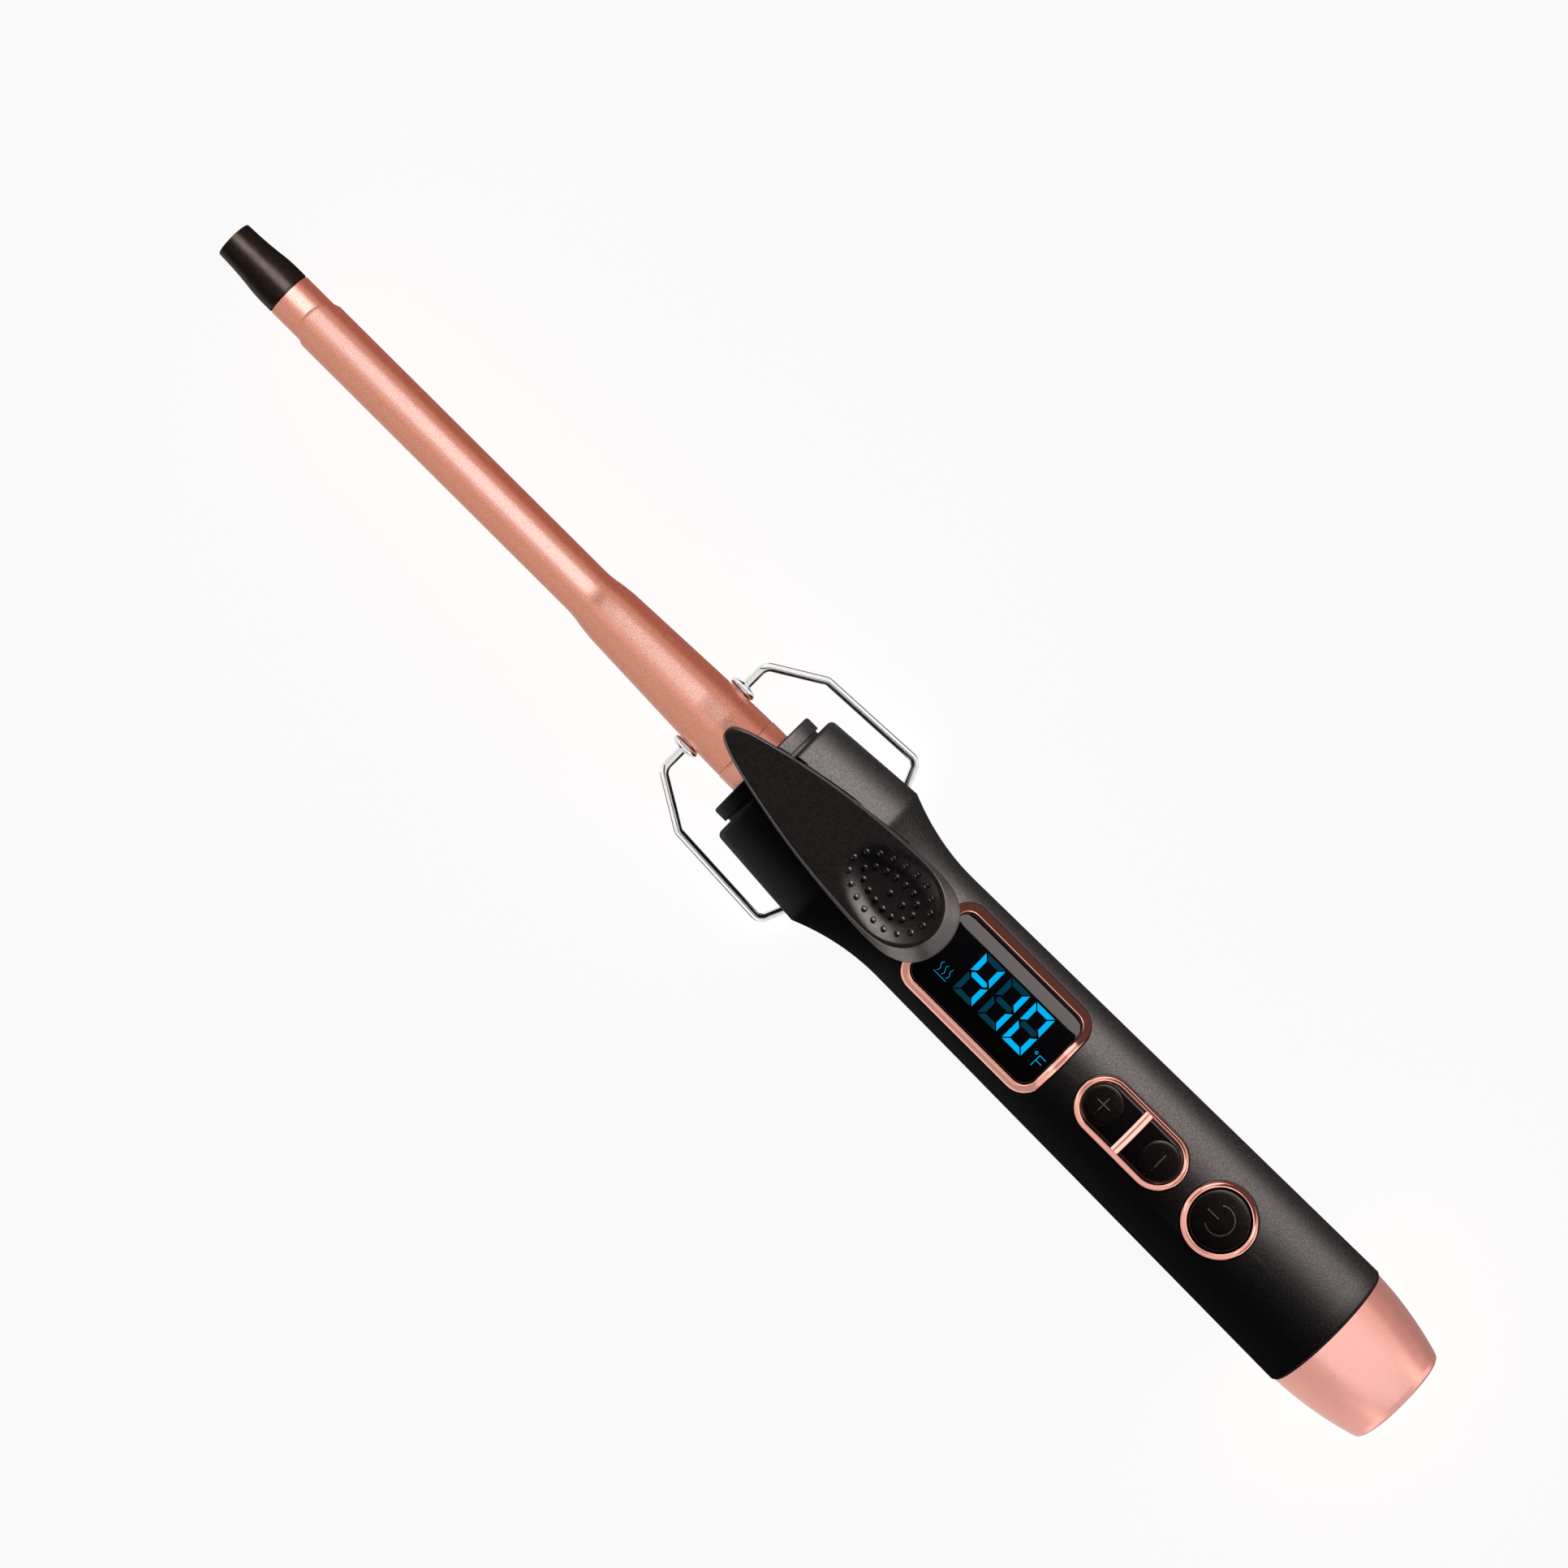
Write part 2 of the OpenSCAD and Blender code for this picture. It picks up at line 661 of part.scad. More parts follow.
module lower_shell() {
    color("#2a2627") difference() {
        union() {
            half_shell(false);
            for (x = [board_x0 + 3, board_x1 - 6]) difference() {
                board_rib(x);
                block([0, -far, 0], [far * 6, far, far]);
            }
            for (p = screw_posts) intersection() {
                translate([p[0], p[1], -far]) cylinder(h = far, r = 4.1);
                turned(inner_fill);
            }
            // the post under the middle of the board
            intersection() {
                translate([post_x, 0, -far]) cylinder(h = far - 0.02, r = 2.6);
                turned(inner_fill);
            }
        }
        for (p = screw_posts) translate([p[0], p[1], -far]) {
            cylinder(h = far + seat_z, r = 2.7);
            cylinder(h = far + 1, r = 1.4);
        }
        translate([post_x, 0, -8]) cylinder(h = 9, r = 0.85);
    }
}

module shell_screws() {
    color("#777b80") for (p = screw_posts) translate([p[0], p[1], 0]) difference() {
        union() {
            translate([0, 0, seat_z - 1.9]) cylinder(h = 1.9, r = 2.5);
            translate([0, 0, seat_z - 0.5]) cylinder(h = 12, r = 1.2);
        }
        // the cross recess
        for (a = [0, 90]) rotate([0, 0, a])
            translate([-1.4, -0.3, seat_z - 2]) cube([2.8, 0.6, 1]);
    }
}

// ---------- Display and buttons ----------

module display_bezel() {
    color("#d58a76") skin(bezel_x - 20, bezel_x + 20, -1.5, 0.6) difference() {
        round_rect(bezel_x, bezel_l, bezel_w, 4.5);
        round_rect(bezel_x, bezel_l - 2 * band, bezel_w - 2 * band, 2.9);
    }
}

module display_window() {
    color("#0a0a0c") skin(bezel_x - 20, bezel_x + 20, -1.2, 0.15)
        round_rect(bezel_x, bezel_l - 2 * band - 2 * gap, bezel_w - 2 * band - 2 * gap, 2.8);
}

module display_module() {
    color("#101418") {
        block([bezel_x - 14, -6.6, 7.4], [bezel_x + 14, 6.6, 10.1]);
        block([bezel_x - 15.2, -7.4, board_top + eps], [bezel_x + 15.2, 7.4, 7.4]);
    }
}

module keys_outline(inset) {
    true_round_rect(keys_x, keys_l - 2 * inset, keys_w - 2 * inset, keys_w / 2 - inset - eps);
}

module button_bezel() {
    color("#d58a76") skin(keys_x - 14, keys_x + 14, -1.6, 0.6) {
        difference() {
            keys_outline(0);
            keys_outline(keys_band);
        }
        translate([keys_x, 0]) square([1.8, keys_w - 1], center = true);
    }
}

module button_panel() {
    color("#0d0c0d") skin(keys_x - 14, keys_x + 14, -1.6, -0.15) difference() {
        keys_outline(keys_band + gap);
        translate([keys_x, 0]) square([2, keys_w], center = true);
        for (x = [plus_x, minus_x]) translate([x, 0]) circle(key_r + gap);
    }
}

// A round push-button, with a flange that keeps it under its panel and a stem
// that meets its switch
function stem_z(x) = handle_r(x) - 4.9;
module push_button(x, r) {
    flange_r = r + 0.6;
    flange_z = sqrt(pow(handle_r(x) - 1.6, 2) - pow(flange_r, 2)) - 0.12;
    color("#1a1718") {
        intersection() {
            translate([x, 0, flange_z - 0.4]) cylinder(h = 6, r = r);
            turned([
                [0, x - 10], [handle_r(x - 10) + 0.35, x - 10],
                [handle_r(x + 10) + 0.35, x + 10], [0, x + 10]
            ]);
        }
        translate([x, 0, flange_z - 0.8]) cylinder(h = 0.8, r = flange_r);
        translate([x, 0, stem_z(x)]) cylinder(h = flange_z - 0.5 - stem_z(x), r = 1.5);
    }
}

module plus_button() push_button(plus_x, key_r - gap);
module minus_button() push_button(minus_x, key_r - gap);
module power_button() push_button(power_x, power_r);

module power_ring() {
    color("#d58a76") skin(power_x - 9, power_x + 9, -1.6, 0.6) translate([power_x, 0]) difference() {
        circle(power_ring_r);
        circle(power_r + 2 * gap);
    }
}

button_xs = [plus_x, minus_x, power_x];

module tact_switches() {
    color("#3a3d42") for (x = button_xs) {
        block([x - 3, -3, board_top + eps], [x + 3, 3, board_top + 2.6]);
        translate([x, 0, board_top + 2.5])
            cylinder(h = stem_z(x) - travel - 0.1 - board_top - 2.5, r = 1.4);
    }
}

// ---------- Electronics ----------

post_x = bezel_x + bezel_l / 2 + 2.9;
board_screw_xs = [post_x];

module circuit_board() {
    color("#1f6b43") difference() {
        block([board_x0, -8.8, board_bottom], [board_x1, 8.8, board_top]);
        for (x = board_screw_xs) translate([x, 0, 0]) cylinder(h = 10, r = 1.1);
    }
}

module board_screws() {
    color("#8b8f94") for (x = board_screw_xs) translate([x, 0, 0]) {
        translate([0, 0, -3]) cylinder(h = board_top + 3.2, r = 0.8);
        translate([0, 0, board_top + 0.02]) cylinder(h = 1.2, r = 1.7);
    }
}

module control_chip() {
    color("#2b2b2e") block([keys_x - 2, 3.4, board_top + eps], [keys_x + 2, 8.2, board_top + 1.2]);
}

module triac() {
    color("#26272a") block([bezel_x - 10, -5, -0.6], [bezel_x, 5, board_bottom - eps]);
}

module film_capacitor() {
    color("#c79a3a") block([keys_x + 4, -3.5, -6], [keys_x + 17, 3.5, board_bottom - eps]);
}

module thermal_fuse() {
    color("#b8bcc1") cross_rod(bezel_x + 8, board_bottom - 2.2, -5, 5, 1.9);
}

module mains_wires() {
    color("#9c3b2e") for (side = [-1, 1])
        swept([
            [board_x1 - 3, side * 6.6, board_bottom - 0.9], [board_x1, side * 6.4, 1.6],
            [rear_x - 11.5, side * 7, -1], [rear_x - 6, side * 7.4, -3.6],
            [rear_x - 2.2, side * 6, -6.4]
        ], 0.8);
}

// ---------- Swivel and end cap ----------

ring_xs = [rear_x - 0.5, rear_x + 2.6];
stem_r = 4;

module brush_holder() {
    color("#57524c") block([rear_x - 1.5, -5.8, -6.9], [rear_x + 5.5, 5.8, -5.6]);
}

module brush_contacts() {
    color("#c9a24b") for (i = [0, 1]) {
        y = (i == 0 ? -1 : 1) * (stem_r + 0.95);
        block([ring_xs[i] + 0.3, y - 0.15, -5.6 + eps], [ring_xs[i] + 1.5, y + 0.15, 2.5]);
    }
}

module contact_rings() {
    color("#c9a24b") for (x = ring_xs) tube(x, x + 1.8, stem_r + 0.7, stem_r + eps);
}

neck_r = 6;
seat_x = end_x - 7.8;
cord_depth = 12.8;

module swivel_gland() {
    mouth = end_x - 0.5;
    color("#1b1919") difference() {
        turned([
            [0, rear_x - 1.5], [stem_r, rear_x - 1.5], [stem_r, rear_x + 6.2], [9.9, rear_x + 6.2],
            [9.9, seat_x - 0.2], [neck_r - run, seat_x - 0.2], [neck_r - run, mouth - 0.4],
            [neck_r - run - 0.4, mouth], [0, mouth]
        ]);
        rod(mouth - cord_depth, mouth + 1, cord_r);
        rod(0, far * 6, 1.2);
    }
}

// The rim of the cap's mouth is flat; its side is one long arc
function cap_r(x) = 14.2 - (x - rear_x) * 0.035 - pow((x - rear_x) / 19.3, 2) * 2.6;

module end_cap() {
    edge = 0.9;
    x0 = rear_x + 0.1;
    side = [for (i = [0:10]) let (x = x0 + (end_x - edge - x0) * i / 10) [cap_r(x), x]];
    rim = ring_arc(end_x - edge, cap_r(end_x - edge) - edge, edge, 90, 0, 4);
    color("#e3a08f") turned(concat(
        [[spigot2_r + run, x0]], side, rim,
        [[neck_r, end_x], [neck_r, seat_x], [10.2, seat_x], [10.2, rear_x + 6.2],
            [spigot2_r + run, rear_x + 6.2]]
    ));
}

// ---------- Nodes ----------

on_table() cool_tip();
on_table() barrel_tube();
on_table() barrel_base();
on_table() heater_plate();
on_table() spreader_upper();
on_table() spreader_lower();
on_table() thermistor();
on_table() heater_leads();
on_table() thermistor_leads();
on_table() pivot_eyelets();
on_table() clamp();
on_table() clamp_spring();
on_table() lever_arm();
on_table() arm_rivets();
on_table() lever();
on_table() lever_screws();
on_table() stand_wire();
on_table() collar();
on_table() barrel_holder();
on_table() upper_shell();
on_table() lower_shell();
on_table() shell_screws();
on_table() display_bezel();
on_table() display_window();
on_table() display_module();
on_table() button_bezel();
on_table() button_panel();
on_table() plus_button();
on_table() minus_button();
on_table() power_ring();
on_table() power_button();
on_table() tact_switches();
on_table() circuit_board();
on_table() board_screws();
on_table() control_chip();
on_table() triac();
on_table() film_capacitor();
on_table() thermal_fuse();
on_table() mains_wires();
on_table() brush_holder();
on_table() brush_contacts();
on_table() contact_rings();
on_table() swivel_gland();
on_table() end_cap();
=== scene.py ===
"""Looks of the curling iron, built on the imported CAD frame. Shapes are written in
millimetres from the tip's end along the barrel's axis, then placed in the frame."""

import json
import math

import bmesh
import bpy
from mathutils import Matrix, Vector


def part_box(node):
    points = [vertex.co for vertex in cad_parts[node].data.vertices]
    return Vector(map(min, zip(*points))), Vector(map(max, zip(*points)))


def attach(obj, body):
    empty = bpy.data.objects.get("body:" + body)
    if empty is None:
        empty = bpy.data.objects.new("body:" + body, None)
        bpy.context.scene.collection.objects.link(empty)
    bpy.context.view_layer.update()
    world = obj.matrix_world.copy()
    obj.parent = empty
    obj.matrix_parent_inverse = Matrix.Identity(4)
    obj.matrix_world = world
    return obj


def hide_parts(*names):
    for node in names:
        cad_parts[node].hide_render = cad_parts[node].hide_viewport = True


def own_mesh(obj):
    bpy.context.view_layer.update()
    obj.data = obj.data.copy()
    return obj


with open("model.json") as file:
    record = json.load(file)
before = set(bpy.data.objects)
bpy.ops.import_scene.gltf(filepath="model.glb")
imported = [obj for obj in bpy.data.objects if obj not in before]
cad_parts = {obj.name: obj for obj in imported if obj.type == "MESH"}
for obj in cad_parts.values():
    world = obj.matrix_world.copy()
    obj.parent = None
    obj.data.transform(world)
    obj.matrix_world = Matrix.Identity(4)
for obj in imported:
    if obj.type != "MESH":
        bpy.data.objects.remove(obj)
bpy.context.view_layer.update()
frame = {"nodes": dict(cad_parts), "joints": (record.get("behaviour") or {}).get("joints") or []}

# ---------- Places taken from the frame ----------

MM = 0.001
TIP_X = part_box("cool_tip")[0].x
JOINTS = {j["name"]: j for j in frame["joints"]}
PIVOT = Vector(JOINTS["clamp_hinge"]["pos_m"])
AXIS_Z = PIVOT.z


def from_tip(x):
    """Millimetres from the tip's end to the frame's x."""
    return (x - TIP_X) / MM


PIVOT_X = from_tip(PIVOT.x)
TIP_L = from_tip(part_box("barrel_tube")[0].x)
BARREL_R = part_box("barrel_tube")[1].y / MM
REACH = from_tip(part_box("collar")[0].x)
COLLAR_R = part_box("collar")[1].y / MM
FRONT_X = from_tip(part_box("upper_shell")[0].x)
RIDGE_X = FRONT_X + 21.75
WAIST_X = RIDGE_X + 18.75
REAR_X = from_tip(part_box("end_cap")[0].x) - 0.1
END_X = from_tip(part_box("end_cap")[1].x)
FRONT_R, WAIST_R, REAR_R = 15.6, 13.25, 14.55
RIDGE_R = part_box("upper_shell")[1].y / MM
WALL = 1.8
CLAMP_X0 = from_tip(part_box("clamp")[0].x)
FLARE_X = CLAMP_X0 + 75.7  # where the clamp starts to widen
SHEET = 0.4  # thickness of the clamp's sheet
PRESS = math.radians(JOINTS["clamp_hinge"]["range_deg"][1])


def middle_x(node):
    low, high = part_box(node)
    return from_tip((low.x + high.x) / 2)


def span(node, axis):
    low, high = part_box(node)
    return (high[axis] - low[axis]) / MM


BEZEL_X, KEYS_X = middle_x("display_bezel"), middle_x("button_bezel")
BEZEL_L, BEZEL_W = span("display_bezel", 0), span("display_bezel", 1)
KEYS_L, KEYS_W = span("button_bezel", 0), span("button_bezel", 1)
PLUS_X, MINUS_X = middle_x("plus_button"), middle_x("minus_button")
POWER_X = middle_x("power_button")
BAND, KEYS_BAND, RING_W = 1.9, 1.3, 1.6  # widths of the three copper bands
KEY_R = 4.0
POWER_R = span("power_ring", 0) / 2 - RING_W


def to_frame(p):
    return Vector((TIP_X + p[0] * MM, p[1] * MM, AXIS_Z + p[2] * MM))


def handle_r(x):
    """Radius of the handle's shells at x."""
    if x < RIDGE_X:
        return FRONT_R + (RIDGE_R - FRONT_R) * (x - FRONT_X) / (RIDGE_X - FRONT_X)
    if x < WAIST_X:
        return WAIST_R + (RIDGE_R - WAIST_R) * ((WAIST_X - x) / (WAIST_X - RIDGE_X)) ** 2
    return WAIST_R + (REAR_R - WAIST_R) * (x - WAIST_X) / (REAR_X - WAIST_X)


# ---------- Materials ----------


class Surface:
    """A Principled material whose colour, roughness and relief vary by noise."""

    def __init__(self, name, colour, rough, metal=0.0, **extra):
        self.mat = bpy.data.materials.new(name)
        self.mat.use_nodes = True
        self.tree = self.mat.node_tree
        self.tree.nodes.clear()
        self.colour, self.rough = colour, rough
        self.bsdf = self.add("BsdfPrincipled", Base_Color=(*colour, 1), Roughness=rough)
        self.fill(self.bsdf, Metallic=metal, **extra)
        self.add("OutputMaterial", Surface=self.bsdf.outputs[0])
        self.coords = self.add("TexCoord").outputs["Object"]

    def fill(self, node, **inputs):
        """Sets a node's inputs, or links those that are given another node's output."""
        for key, value in inputs.items():
            socket = node.inputs[key.replace("_", " ")]
            if isinstance(value, bpy.types.NodeSocket):
                self.tree.links.new(value, socket)
            else:
                socket.default_value = value

    def add(self, kind, data_type=None, **inputs):
        node = self.tree.nodes.new("ShaderNode" + kind)
        if data_type:
            node.data_type = data_type
        self.fill(node, **inputs)
        return node

    def noise(self, scale, detail):
        """Noise in object space; scale is features per metre."""
        return self.add("TexNoise", Vector=self.coords, Scale=scale, Detail=detail).outputs["Fac"]

    def ranged(self, fac, low, high, lo=0.3, hi=0.7):
        """fac from lo to hi, mapped onto low to high."""
        node = self.add("MapRange", Value=fac, From_Min=lo, From_Max=hi, To_Min=low, To_Max=high)
        return node.outputs["Result"]

    def mix(self, fac, a, b):
        return self.add("Mix", "RGBA", Factor=fac, A=a, B=b).outputs["Result"]

    def vary_rough(self, scale, spread):
        low, high = max(self.rough - spread, 0.02), self.rough + spread
        self.fill(self.bsdf, Roughness=self.ranged(self.noise(scale, 4), low, high))
        return self

    def vary_colour(self, scale, amount, wear=0.0, wear_colour=()):
        """Mottles the colour, and lightens convex edges by wear."""
        dark = (*[c * (1 - amount) for c in self.colour], 1)
        light = (*[min(c * (1 + amount), 1) for c in self.colour], 1)
        colour = self.mix(self.ranged(self.noise(scale, 5), 0, 1), dark, light)
        if wear:
            convex = self.add("NewGeometry").outputs["Pointiness"]
            colour = self.mix(self.ranged(convex, 0, wear, 0.52, 0.62), colour, (*wear_colour, 1))
        self.fill(self.bsdf, Base_Color=colour)
        return self

    def grain(self, scale, depth_mm):
        """Relief of that depth."""
        bump = self.add("Bump", Strength=1.0, Distance=depth_mm * MM, Height=self.noise(scale, 2))
        self.fill(self.bsdf, Normal=bump.outputs["Normal"])
        return self

    def glow(self, colour, strength):
        self.fill(self.bsdf, Emission_Color=(*colour, 1), Emission_Strength=strength)
        return self


COPPER = (0.86, 0.36, 0.245)
PINK = (0.90, 0.42, 0.345)
GLOSS = (0.88, 0.41, 0.33)


def surfaced(name, colour, rough, roughness, mottle, relief=None, metal=0.0, **extra):
    """A surface with the arguments of its vary_rough, vary_colour and grain."""
    surface = Surface(name, colour, rough, metal, **extra)
    surface.vary_rough(*roughness).vary_colour(*mottle)
    return surface.grain(*relief) if relief else surface


copper_satin = surfaced(
    "copper_satin", COPPER, 0.31, (3400, 0.08), (3300, 0.16, 0.25, (0.95, 0.66, 0.52)),
    (3600, 0.02), metal=1.0,
)
cap_satin = surfaced(
    "cap_satin", PINK, 0.3, (500, 0.04), (2500, 0.03, 0.2, (0.97, 0.74, 0.66)),
    (4200, 0.002), metal=1.0,
)
bezel_gloss = surfaced(
    "bezel_gloss", GLOSS, 0.13, (700, 0.04), (1200, 0.03, 0.2, (0.98, 0.76, 0.66)),
    (1500, 0.0006), metal=1.0,
)
soft_black = surfaced(
    "soft_black", (0.0065, 0.0055, 0.0060), 0.46, (2400, 0.11),
    (2600, 0.4, 0.3, (0.06, 0.052, 0.05)), (3400, 0.034), Specular_IOR_Level=0.9,
)
lever_black = surfaced(
    "lever_black", (0.0105, 0.0088, 0.0092), 0.42, (1500, 0.06),
    (2800, 0.25, 0.4, (0.09, 0.08, 0.078)), (3000, 0.028), Specular_IOR_Level=0.75,
)
grip_black = surfaced(
    "grip_black", (0.02, 0.017, 0.017), 0.27, (1500, 0.05), (2800, 0.2, 0.4, (0.09, 0.08, 0.078)),
    (3000, 0.006), Specular_IOR_Level=0.8,
)
tip_black = surfaced(
    "tip_black", (0.012, 0.0085, 0.007), 0.34, (900, 0.06), (1800, 0.2, 0.5, (0.11, 0.10, 0.09)),
    (2400, 0.01), Specular_IOR_Level=0.6,
)
panel_gloss = surfaced(
    "panel_gloss", (0.008, 0.007, 0.008), 0.12, (500, 0.03), (1500, 0.15),
    (1200, 0.002), Coat_Weight=0.4,
)
key_black = surfaced(
    "key_black", (0.014, 0.012, 0.011), 0.36, (2400, 0.1), (2600, 0.45, 0.3, (0.05, 0.045, 0.04)),
    (3000, 0.02), Specular_IOR_Level=0.45,
)
# the marks' light grey is painted highlight: it stands in for the light their strokes catch
mark_painted_highlight = surfaced(
    "mark_painted_highlight", (0.2, 0.185, 0.17), 0.42, (1400, 0.06), (2200, 0.15),
    (3000, 0.008),
)
glass_black = surfaced(
    "glass_black", (0.004, 0.004, 0.006), 0.05, (200, 0.02), (300, 0.1),
    Specular_IOR_Level=0.5,
)
chrome_wire = surfaced(
    "chrome_wire", (0.80, 0.79, 0.78), 0.17, (1200, 0.05), (900, 0.05, 0.2, (0.95, 0.94, 0.93)),
    (1800, 0.004), metal=1.0,
)
steel_plain = surfaced(
    "steel_plain", (0.52, 0.52, 0.53), 0.34, (1500, 0.08), (1500, 0.1, 0.3, (0.8, 0.8, 0.8)),
    (2600, 0.006), metal=1.0,
)
lcd_off = Surface("lcd_off", (0.004, 0.018, 0.026), 0.2).vary_rough(600, 0.03)
lcd_off.glow((0.004, 0.105, 0.19), 0.35)
lcd_on = Surface("lcd_on", (0.0, 0.05, 0.08), 0.25).vary_rough(600, 0.03)
lcd_on.glow((0.0, 0.40, 0.80), 1.15)


def simple(name, colour, rough, metal=0.0):
    return surfaced(name, colour, rough, (1500, 0.06), (1800, 0.1), (2500, 0.006), metal)


ceramic_white = simple("ceramic_white", (0.80, 0.78, 0.72), 0.5)
bead_green = simple("bead_green", (0.25, 0.42, 0.26), 0.3)
sleeve_white = simple("sleeve_white", (0.72, 0.70, 0.63), 0.55)
sleeve_yellow = simple("sleeve_yellow", (0.70, 0.52, 0.12), 0.5)
sleeve_red = simple("sleeve_red", (0.45, 0.05, 0.03), 0.5)
phenolic = simple("phenolic", (0.22, 0.13, 0.07), 0.6)
board_green = simple("board_green", (0.02, 0.16, 0.07), 0.35)
part_black = simple("part_black", (0.02, 0.02, 0.022), 0.45)
film_yellow = simple("film_yellow", (0.55, 0.33, 0.05), 0.35)
brass = simple("brass", (0.72, 0.50, 0.18), 0.25, 1.0)

# ---------- Mesh helpers ----------


def piece(name, verts, faces, surface, body, slot, replaces=(), sharp=38):
    """A mesh given in millimetres from the tip, smooth where faces meet below sharp degrees."""
    mesh = bpy.data.meshes.new(name)
    mesh.from_pydata([to_frame(v) for v in verts], [], faces)
    bm = bmesh.new()
    bm.from_mesh(mesh)
    bmesh.ops.remove_doubles(bm, verts=bm.verts, dist=2e-7)
    bmesh.ops.dissolve_degenerate(bm, dist=1e-8, edges=bm.edges)
    bmesh.ops.recalc_face_normals(bm, faces=bm.faces)
    for f in bm.faces:
        f.smooth = True
    bm.to_mesh(mesh)
    bm.free()
    mesh.set_sharp_from_angle(angle=math.radians(sharp))
    obj = bpy.data.objects.new(name, mesh)
    bpy.context.scene.collection.objects.link(obj)
    mesh.materials.append(surface.mat)
    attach(obj, body)
    if replaces:
        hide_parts(*replaces)
    return obj


def loft(rings, cap_start=False, cap_end=False):
    """Joins closed rings of equal length with quads."""
    n = len(rings[0])
    verts = [p for ring in rings for p in ring]
    faces = []
    for i in range(len(rings) - 1):
        for k in range(n):
            a, b = i * n + k, i * n + (k + 1) % n
            faces.append((a, b, b + n, a + n))
    if cap_start:
        faces.append(tuple(reversed(range(n))))
    if cap_end:
        faces.append(tuple(range((len(rings) - 1) * n, len(rings) * n)))
    return verts, faces


def solid(rings):
    return loft(rings, True, True)


def merged(*parts):
    """Several meshes as one."""
    verts, faces = [], []
    for v, f in parts:
        base = len(verts)
        verts += v
        faces += [tuple(i + base for i in face) for face in f]
    return verts, faces


def fillet(points, n=5):
    """Rounds the corners of a line of (x, r, fillet radius) points."""
    out = []
    for i, p in enumerate(points):
        radius = p[2] if len(p) > 2 else 0
        if not radius or i in (0, len(points) - 1):
            out.append((p[0], p[1]))
            continue
        here = Vector(p[:2])
        a = (Vector(points[i - 1][:2]) - here).normalized()
        b = (Vector(points[i + 1][:2]) - here).normalized()
        half = a.angle(b) / 2
        back = radius / math.tan(half)
        centre = here + (a + b).normalized() * (radius / math.sin(half))
        start, end = here + a * back - centre, here + b * back - centre
        turn = start.angle_signed(end)
        for k in range(n + 1):
            c, s = math.cos(-turn * k / n), math.sin(-turn * k / n)
            across, up = start.x * c - start.y * s, start.x * s + start.y * c
            out.append((centre.x + across, centre.y + up))
    return out


def around(n):
    """Cosine and sine at n equal steps round a circle."""
    return [(math.cos(2 * math.pi * k / n), math.sin(2 * math.pi * k / n)) for k in range(n)]


def lathe(profile, segs=128):
    """Turns (x, r) points about the barrel's axis."""
    return loft([[(x, r * c, r * s) for c, s in around(segs)] for x, r in profile])


def half_lathe(profile, start, end, segs=96):
    """Sweeps a closed (x, r) profile from start to end degrees, with flat faces at both ends;
    0 is +Y and 90 is up."""
    rings = []
    for k in range(segs + 1):
        a = math.radians(start + (end - start) * k / segs)
        rings.append([(x, r * math.cos(a), r * math.sin(a)) for x, r in profile])
    return solid(rings)


def rrect(cx, length, width, r, n=10):
    """Outline of a rounded rectangle about (cx, 0): (x, y, inward normal x, y)."""
    out = []
    for sx, sy, a0 in ((1, 1, 0), (-1, 1, 90), (-1, -1, 180), (1, -1, 270)):
        ox, oy = cx + sx * (length / 2 - r), sy * (width / 2 - r)
        for k in range(n + 1):
            a = math.radians(a0 + 90 * k / n)
            c, s = math.cos(a), math.sin(a)
            out.append((ox + r * c, oy + r * s, -c, -s))
    return dense(out)


def dense(outline, step=1.2):
    """Adds points on long straight runs, so that a pad can follow a curved surface."""
    out = []
    for i, p in enumerate(outline):
        q = outline[(i + 1) % len(outline)]
        out.append(p)
        count = int(math.hypot(q[0] - p[0], q[1] - p[1]) // step)
        for k in range(1, count + 1):
            t = k / (count + 1)
            out.append(tuple(p[j] + (q[j] - p[j]) * t for j in range(4)))
    return out


def circle(cx, r, n=96):
    """Outline of a circle about (cx, 0), as rrect gives it."""
    return [(cx + r * c, r * s, -c, -s) for c, s in around(n)]


def on_handle(x, y, grow):
    """The point over (x, y) that far outside the handle's shells."""
    r = handle_r(x) + grow
    return (x, y, math.sqrt(max(r * r - y * y, 0)))


def pad(outline, profile, middle=None, rings=8, dish=0.0):
    """Rings at (inset, growth) along an outline on the handle. With the x of its middle, the
    top closes there, lowered by dish, and the underside is capped."""
    loops = [
        [on_handle(x + nx * i, y + ny * i, h) for x, y, nx, ny in outline] for i, h in profile
    ]
    if middle is not None:
        inset, high = profile[-1]
        for k in range(1, rings + 1):
            s = 1 - k / rings
            ring = []
            for x, y, nx, ny in outline:
                px, py = middle + (x + nx * inset - middle) * s, (y + ny * inset) * s
                ring.append(on_handle(px, py, high - dish * (1 - s * s)))
            loops.append(ring)
    return loft(loops, cap_start=middle is not None)


def stroke(points, width, low, high, slope=0.12, step=0.5, shoulder=0.0):
    """A raised ribbon along points on the handle's surface. Its sides slope in by slope, from
    shoulder below its top."""
    line = []
    for p, q in zip(points, points[1:]):
        count = max(int(math.hypot(q[0] - p[0], q[1] - p[1]) / step), 1)
        line += [
            (p[0] + (q[0] - p[0]) * k / count, p[1] + (q[1] - p[1]) * k / count)
            for k in range(count)
        ]
    line.append(points[-1])
    w, inner = width / 2, width / 2 - slope
    half = [(w, low)] + ([(w, high - shoulder)] if shoulder else []) + [(inner, high)]
    section = half + [(-across, up) for across, up in reversed(half)]
    rings = []
    for i, p in enumerate(line):
        a, b = line[max(i - 1, 0)], line[min(i + 1, len(line) - 1)]
        d = Vector((b[0] - a[0], b[1] - a[1])).normalized()
        rings.append([on_handle(p[0] - d.y * c, p[1] + d.x * c, up) for c, up in section])
    return solid(rings)


